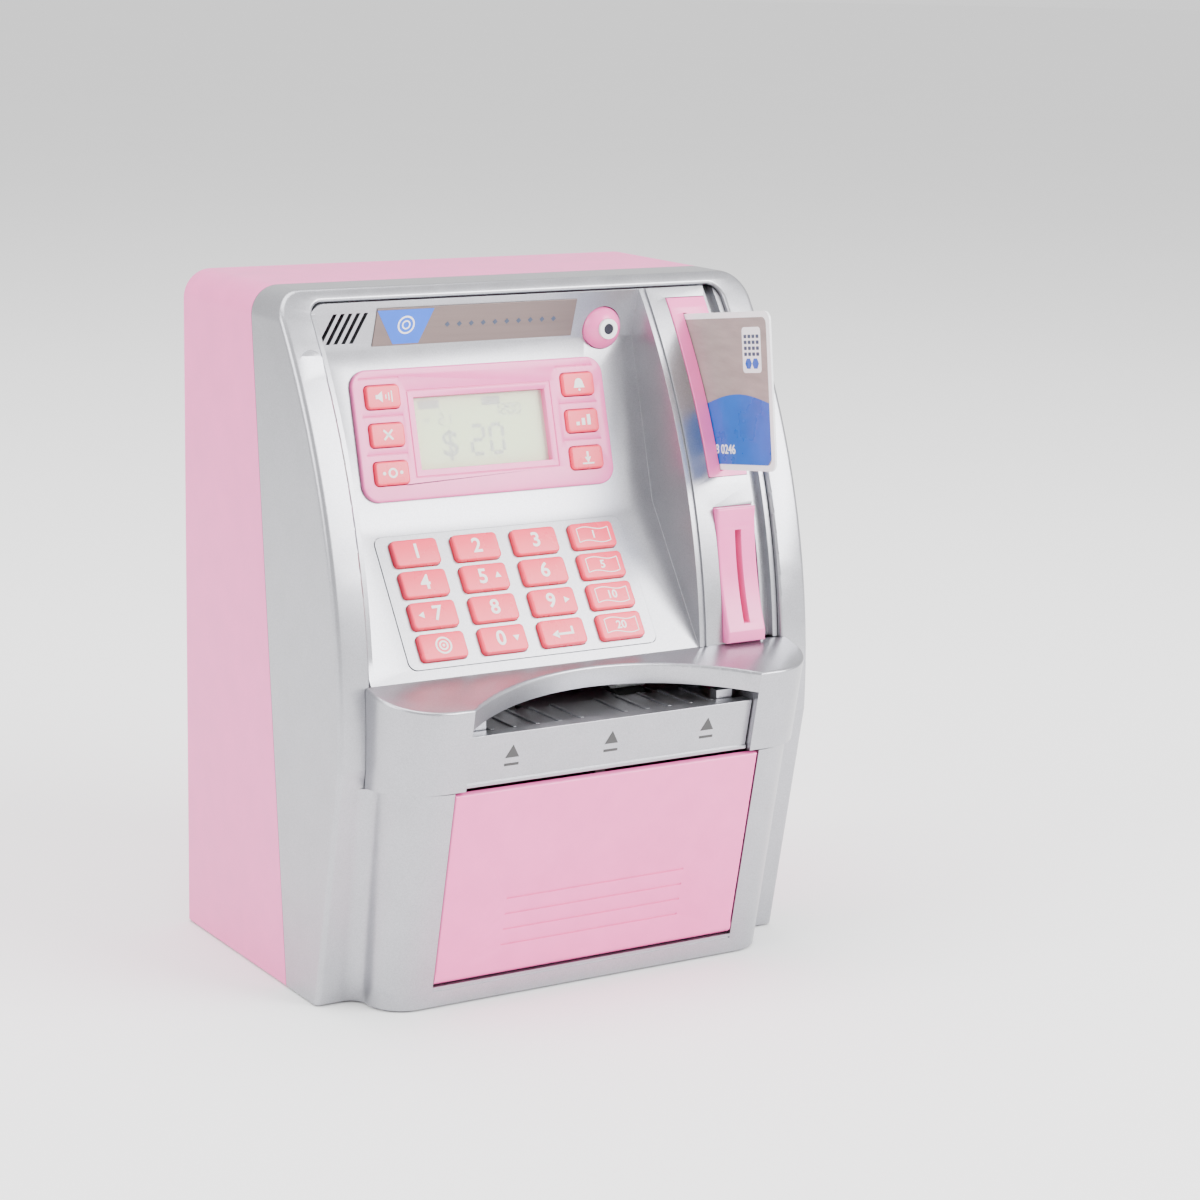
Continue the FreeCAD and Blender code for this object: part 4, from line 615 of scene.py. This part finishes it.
@dataclass
class Keys:
    """The key caps and what is printed on them."""

    edge: float = 0.3
    print_height: float = 0.12
    digit: float = 7.2
    small: float = 1.35
    numbers: dict[str, str] = field(default_factory=lambda: {
        "key_one": "1", "key_two": "2", "key_three": "3", "key_four": "4", "key_five": "5",
        "key_six": "6", "key_seven": "7", "key_eight": "8", "key_nine": "9", "key_zero": "0",
    })
    arrows: dict[str, tuple[float, float]] = field(default_factory=lambda: {
        "key_five": (4.6, 90.0), "key_seven": (-4.6, 180.0), "key_nine": (4.6, 0.0),
        "key_zero": (4.6, -90.0),
    })
    notes: dict[str, str] = field(default_factory=lambda: {
        "key_note_one": "1", "key_note_five": "5", "key_note_ten": "10", "key_note_twenty": "20",
    })

    def build(self) -> None:
        """Make every cap and its print."""
        for body in frame["record"]["behaviour"]["bodies"]:
            if body.startswith("key_"):
                softened(body, self.edge)
                shapes = self.print_on(body, Seat.on(body, Vector((0, -1, 0.4))))
                finished(f"{body}_print", joined(shapes), WHITE_PRINT, body)

    def print_on(self, key: str, seat: Seat) -> list[bmesh.types.BMesh]:
        """What is printed on one key.

        Args:
            key: The key's body.
            seat: The key's top face.

        Returns:
            The raised shapes of its print.
        """
        place = seat.matrix()
        thick = self.print_height
        if key in self.numbers:
            shift = -self.arrows[key][0] * 0.25 if key in self.arrows else 0.0
            shapes = [digits(self.numbers[key], self.digit, thick, seat.matrix(x=shift))]
            if key in self.arrows:
                x, degrees = self.arrows[key]
                shapes.append(plate(arrow_outline(x, 0, self.small, degrees), thick, place))
            return shapes
        if key in self.notes:
            return self.note(self.notes[key], place)
        symbols: dict[str, Callable[[Matrix], list[bmesh.types.BMesh]]] = {
            "key_target": self.target, "key_enter": self.enter, "key_sound": self.sound,
            "key_clear": self.clear, "key_set": self.dots, "key_alarm": self.bell,
            "key_balance": self.bars, "key_withdraw": self.withdraw,
        }
        return symbols[key](place)

    def note(self, value: str, place: Matrix) -> list[bmesh.types.BMesh]:
        """A waving banknote with its value."""
        count = 12
        half, tall, line = 6.2, 2.5, 0.28
        wave = []
        for step in range(count + 1):
            share = step / count
            wave.append((-half + 2 * half * share, 0.55 * math.sin(2 * math.pi * share)))
        shapes = [digits(value, 4.0, self.print_height, place)]
        for offset in (-tall, tall):
            low = [(x, y + offset - line / 2) for x, y in wave]
            high = [(x, y + offset + line / 2) for x, y in reversed(wave)]
            shapes.append(plate(low + high, self.print_height, place))
        for x in (-half, half):
            shapes.append(plate(box_outline(x, 0, line, tall * 2), self.print_height, place))
        return shapes

    def target(self, place: Matrix) -> list[bmesh.types.BMesh]:
        """Two rings and a spot."""
        return [
            ring(0, 0, 3.0, 2.4, self.print_height, place), ring(0, 0, 1.7, 1.1, self.print_height, place),
            plate(round_outline(0, 0, 0.5, 12), self.print_height, place),
        ]

    def enter(self, place: Matrix) -> list[bmesh.types.BMesh]:
        """A bent arrow."""
        thick = self.print_height
        return [
            plate(box_outline(0.6, -0.8, 6.4, 0.8), thick, place),
            plate(box_outline(3.4, 0.6, 0.8, 2.0), thick, place),
            plate(arrow_outline(-2.9, -0.8, 1.7, 180), thick, place),
        ]

    def sound(self, place: Matrix) -> list[bmesh.types.BMesh]:
        """A loudspeaker and its waves."""
        thick = self.print_height
        horn = [(-3.0, -0.7), (-2.0, -0.7), (-0.5, -1.9), (-0.5, 1.9), (-2.0, 0.7), (-3.0, 0.7)]
        waves = [plate(box_outline(0.8 + 1.1 * i, 0, 0.4, 1.4 + 1.2 * i), thick, place) for i in range(3)]
        return [plate(horn, thick, place), *waves]

    def clear(self, place: Matrix) -> list[bmesh.types.BMesh]:
        """A cross."""
        turned = [place @ Matrix.Rotation(math.radians(angle), 4, "Z") for angle in (45, -45)]
        return [plate(box_outline(0, 0, 4.6, 0.7), self.print_height, turn) for turn in turned]

    def dots(self, place: Matrix) -> list[bmesh.types.BMesh]:
        """A ring with two spots beside it."""
        thick = self.print_height
        spots = [plate(round_outline(x, 0, 0.6, 14), thick, place) for x in (-3.2, 3.2)]
        return [ring(0, 0, 1.7, 1.0, thick, place), *spots]

    def bell(self, place: Matrix) -> list[bmesh.types.BMesh]:
        """A bell with its clapper."""
        turns = [math.pi * step / 10 for step in range(11)]
        dome = [(1.6 * math.cos(turn), 0.2 + 1.7 * math.sin(turn)) for turn in turns]
        body = [(-2.2, -1.4), (2.2, -1.4), *dome]
        return [
            plate(body, self.print_height, place),
            plate(round_outline(0, -2.1, 0.45, 12), self.print_height, place),
        ]

    def bars(self, place: Matrix) -> list[bmesh.types.BMesh]:
        """Three bars that rise to the right."""
        bars = []
        for step in range(3):
            tall = 1.2 * (step + 1)
            bar = box_outline(-2.2 + 2.2 * step, -1.6 + tall / 2, 1.3, tall)
            bars.append(plate(bar, self.print_height, place))
        return bars

    def withdraw(self, place: Matrix) -> list[bmesh.types.BMesh]:
        """An arrow that leaves a tray."""
        thick = self.print_height
        return [
            plate(box_outline(0, 0.9, 0.8, 2.2), thick, place),
            plate(arrow_outline(0, -0.6, 1.4, -90), thick, place),
            plate(box_outline(0, -2.1, 4.6, 0.5), thick, place),
        ]


@dataclass
class Display:
    """The liquid crystal screen and its seven-segment figures."""

    stroke: float = 0.9
    raised: float = 0.06

    def build(self) -> None:
        """Make the figures on the panel."""
        seat = Seat.on("lcd_module", Vector((0, -1, 0.3)))
        shapes = []
        shapes += self.number("20", 3.0, -3.2, 9.6, seat)
        shapes += self.number("1200", 12.0, 6.6, 3.6, seat)
        shapes += self.number("21", -12.5, 4.6, 3.6, seat)
        shapes.append(digits("$", 12.5, self.raised, seat.matrix(x=-11.5, up=-4.2), weight=0.01))
        for x, width in ((-18.0, 8.0), (6.0, 7.0)):
            shapes.append(plate(box_outline(x, 9.8, width, 2.8), self.raised, seat.matrix()))
        for index in range(3):
            tall = 0.9 + 0.7 * index
            bar = box_outline(-20.5 + 0.9 * index, 4.6, 0.35, tall)
            shapes.append(plate(bar, self.raised, seat.matrix()))
        for up in (5.9, 7.3):
            shapes.append(plate(box_outline(12.0, up, 0.5, 0.5), self.raised, seat.matrix()))
        finished("screen_figures", joined(shapes), INK, node_body("lcd_module"))

    def number(self, text: str, x: float, up: float, height: float, seat: Seat) -> list[bmesh.types.BMesh]:
        """Seven-segment figures about a middle.

        Args:
            text: The digits to show.
            x: Their middle, in millimetres to the right.
            up: Their middle, in millimetres up the panel.
            height: The figures' height.
            seat: The panel's face.

        Returns:
            One plate for each lit segment.
        """
        lit = {"0": "abcdef", "1": "bc", "2": "abged"}
        width, line = height * 0.5, height * 0.13
        pitch = width * 1.55
        flat = {"a": height / 2, "g": 0.0, "d": -height / 2}
        upright = {"f": (-1, 1), "b": (1, 1), "e": (-1, -1), "c": (1, -1)}
        shapes = []
        for place, figure in enumerate(text):
            middle = x + pitch * (place - (len(text) - 1) / 2)
            for name in lit[figure]:
                if name in flat:
                    bar = box_outline(middle, up + flat[name], width - line, line)
                else:
                    side, rise = upright[name]
                    level = up + rise * height / 4
                    bar = box_outline(middle + side * width / 2, level, line, height / 2 - line)
                shapes.append(plate(bar, self.raised, seat.matrix()))
        return shapes


@dataclass
class Header:
    """The brushed strip over the screen, with a plain coin sign in place of a name."""

    edge: float = 0.12
    foil: float = 0.08
    inset: float = 0.6

    def build(self) -> None:
        """Make the blue foil, its coin sign and a row of diamonds."""
        softened("name_badge", self.edge)
        seat = Seat.on("name_badge", Vector((0, -1, 0)))
        half, tall = seat.width / MM / 2, seat.height / MM / 2
        top, low = tall - self.inset, self.inset - tall
        left = -half + self.inset
        foil = [(left + 7.0, low), (left + 16.6, low), (left + 21.3, top), (left, top)]
        body = node_body("name_badge")
        finished("badge_foil", plate(foil, self.foil, seat.matrix()), BLUE_FOIL, body)
        place = seat.matrix(out=self.foil)
        rings = ((3.2, 2.6), (1.6, 1.1))
        sign = [ring(left + 11.3, 0.6, outer, inner, self.foil, place) for outer, inner in rings]
        finished("badge_coin_sign", joined(sign), WHITE_PRINT, body)
        diamonds = [
            plate(round_outline(left + 27.0 + 4.6 * index, 0.0, 1.0, 4), self.foil, seat.matrix())
            for index in range(10)
        ]
        finished("badge_diamonds", joined(diamonds), GREY_PRINT, body)


@dataclass
class BankCard:
    """The play card: a printed field, a wave, a chip panel and a row of digits."""

    ink: float = 0.05
    border: float = 2.0

    def build(self) -> None:
        """Make the card and the print on each side."""
        softened("card", 0.15)
        for side in (-1, 1):
            self.print_side(Seat.on("card", Vector((side, 0, 0))), side)

    def print_side(self, seat: Seat, side: int) -> None:
        """Print one side.

        Args:
            seat: The face of the card.
            side: -1 for the left face and 1 for the right.
        """
        label = "left" if side < 0 else "right"
        long, short = seat.width / MM - 2 * self.border, seat.height / MM - 2 * self.border
        half, tall = long / 2, short / 2
        outward = half if seat.across.y < 0 else -half
        place = seat.matrix()
        body = "card"
        field_shape = soft_outline(0, 0, long, short, 2.4)
        finished(f"card_field_{label}", plate(field_shape, self.ink, place), CARD_BROWN, body)
        steps = 24
        crest = [
            (half - long * i / steps, -tall + short * 0.42 + 3.0 * math.sin(2.2 * math.pi * i / steps))
            for i in range(steps + 1)
        ]
        corner = 2.2
        floor = [
            (-half, -tall + corner), (-half + corner, -tall), (half - corner, -tall), (half, -tall + corner),
        ]
        over = seat.matrix(out=self.ink)
        finished(f"card_wave_{label}", plate(floor + crest, self.ink, over), CARD_BLUE, body)
        inward = -1 if outward > 0 else 1
        chip_x = outward + inward * 9.0
        chip = soft_outline(chip_x, tall - 11.0, 11.0, 15.5, 1.4)
        finished(f"card_chip_{label}", plate(chip, self.ink, over), CARD_WHITE, body)
        top = seat.matrix(out=self.ink * 2)
        dots = []
        for column in range(4):
            for row in range(4):
                dot = soft_outline(chip_x - 3.6 + 2.4 * column, tall - 6.4 - 2.0 * row, 1.7, 1.2, 0.3)
                dots.append(plate(dot, self.ink, top))
        finished(f"card_dots_{label}", joined(dots), GREY_PRINT, body)
        hexes = [plate(round_outline(chip_x + x, tall - 15.6, 2.0, 6), self.ink, top) for x in (-2.1, 2.1)]
        finished(f"card_hexes_{label}", joined(hexes), CARD_BLUE, body)
        code = digits("2048 1357 2468 0246", 4.4, self.ink, seat.matrix(up=-tall + 5.0, out=self.ink * 2))
        finished(f"card_digits_{label}", code, WHITE_PRINT, body)


@dataclass
class TrayPrint:
    """Plain arrows on the tray in place of wording."""

    ink: float = 0.1

    def build(self) -> None:
        """Make a row of arrows that point into the slot."""
        seat = Seat.on("tray_front", Vector((0, -1, 0)))
        arrows = []
        for x in (-38.0, 0.0, 38.0):
            arrows.append(plate(arrow_outline(x, 0.8, 3.0, 90), self.ink, seat.matrix()))
            arrows.append(plate(box_outline(x, -3.2, 5.4, 0.9), self.ink, seat.matrix()))
        finished("tray_arrows", joined(arrows), BLACK_PLASTIC, node_body("tray_front"))


# --------------------------------------------------------------------------- studio
@dataclass
class Studio:
    """The floor, the soft lights and the camera."""

    eye: tuple[float, float, float] = (-0.5112, -0.8798, 0.3469)
    azimuth: float = -31.85
    elevation: float = 12.35
    roll: float = 1.22
    focal: float = 89.78
    sensor: float = 36.0
    floor_half: float = 45.0

    def build(self) -> None:
        """Make everything that isn't part of the object."""
        self.floor()
        self.lights()
        self.camera()

    def floor(self) -> None:
        """A wide pale floor."""
        mesh = bmesh.new()
        bmesh.ops.create_grid(mesh, x_segments=1, y_segments=1, size=self.floor_half)
        data = bpy.data.meshes.new("floor")
        mesh.to_mesh(data)
        mesh.free()
        floor = bpy.data.objects.new("floor", data)
        paint = Finish(
            "floor_paper", (0.96, 0.96, 0.96), shade=0.99, smooth=0.8, rough=0.95, mottle=3.0, bump=0.0,
        )
        data.materials.append(paint.material())
        bpy.context.collection.objects.link(floor)

    def lights(self) -> None:
        """Large soft lights and an even white surround."""
        world = bpy.data.worlds.new("surround")
        bpy.context.scene.world = world
        world.use_nodes = True
        back = world.node_tree.nodes["Background"]
        back.inputs["Color"].default_value = (1.0, 1.0, 1.0, 1.0)
        back.inputs["Strength"].default_value = 1.2
        spots = (
            ("key_light", (0.8, -1.15, 0.95), 1.0, 42.0),
            ("side_light", (-1.6, -0.1, 0.9), 1.0, 22.0),
            ("top_light", (-0.2, 0.3, 1.9), 1.6, 45.0),
        )
        for name, spot, wide, power in spots:
            lamp = bpy.data.lights.new(name, "AREA")
            lamp.size = wide
            lamp.energy = power
            holder = bpy.data.objects.new(name, lamp)
            holder.location = spot
            aim = Vector((0, 0, 0.1)) - Vector(spot)
            holder.rotation_mode = "QUATERNION"
            holder.rotation_quaternion = aim.to_track_quat("-Z", "Y")
            bpy.context.collection.objects.link(holder)

    def camera(self) -> None:
        """A long lens from the front left, a little above."""
        turn, tip, roll = (math.radians(v) for v in (self.azimuth, self.elevation, self.roll))
        ahead = Vector((-math.sin(turn) * math.cos(tip), math.cos(turn) * math.cos(tip), -math.sin(tip)))
        right = ahead.cross(Vector((0, 0, 1))).normalized()
        up = right.cross(ahead)
        tilted_right = right * math.cos(roll) + up * math.sin(roll)
        tilted_up = up * math.cos(roll) - right * math.sin(roll)
        data = bpy.data.cameras.new("camera")
        data.lens = self.focal
        data.sensor_width = self.sensor
        data.clip_end = 20.0
        camera = bpy.data.objects.new("camera", data)
        axes = Matrix((tilted_right, tilted_up, -ahead)).transposed()
        camera.matrix_world = Matrix.Translation(Vector(self.eye)) @ axes.to_4x4()
        bpy.context.collection.objects.link(camera)
        bpy.context.scene.camera = camera


def dress_frame() -> None:
    """Give every CAD node its slot's finish."""
    for name, holder in frame["nodes"].items():
        holder.data.materials.clear()
        finish = COIN_AMBER if name == "coin_chute" else SLOT_FINISH[node_slot(name)]
        holder.data.materials.append(finish.material())


def main() -> None:
    """Build the looks in order."""
    logging.basicConfig(level=logging.INFO)
    dress_frame()
    for part in (Casing(), Keys(), Display(), Header(), BankCard(), TrayPrint(), Studio()):
        LOG.info("building %s", type(part).__name__)
        part.build()


if __name__ == "__main__":
    main()
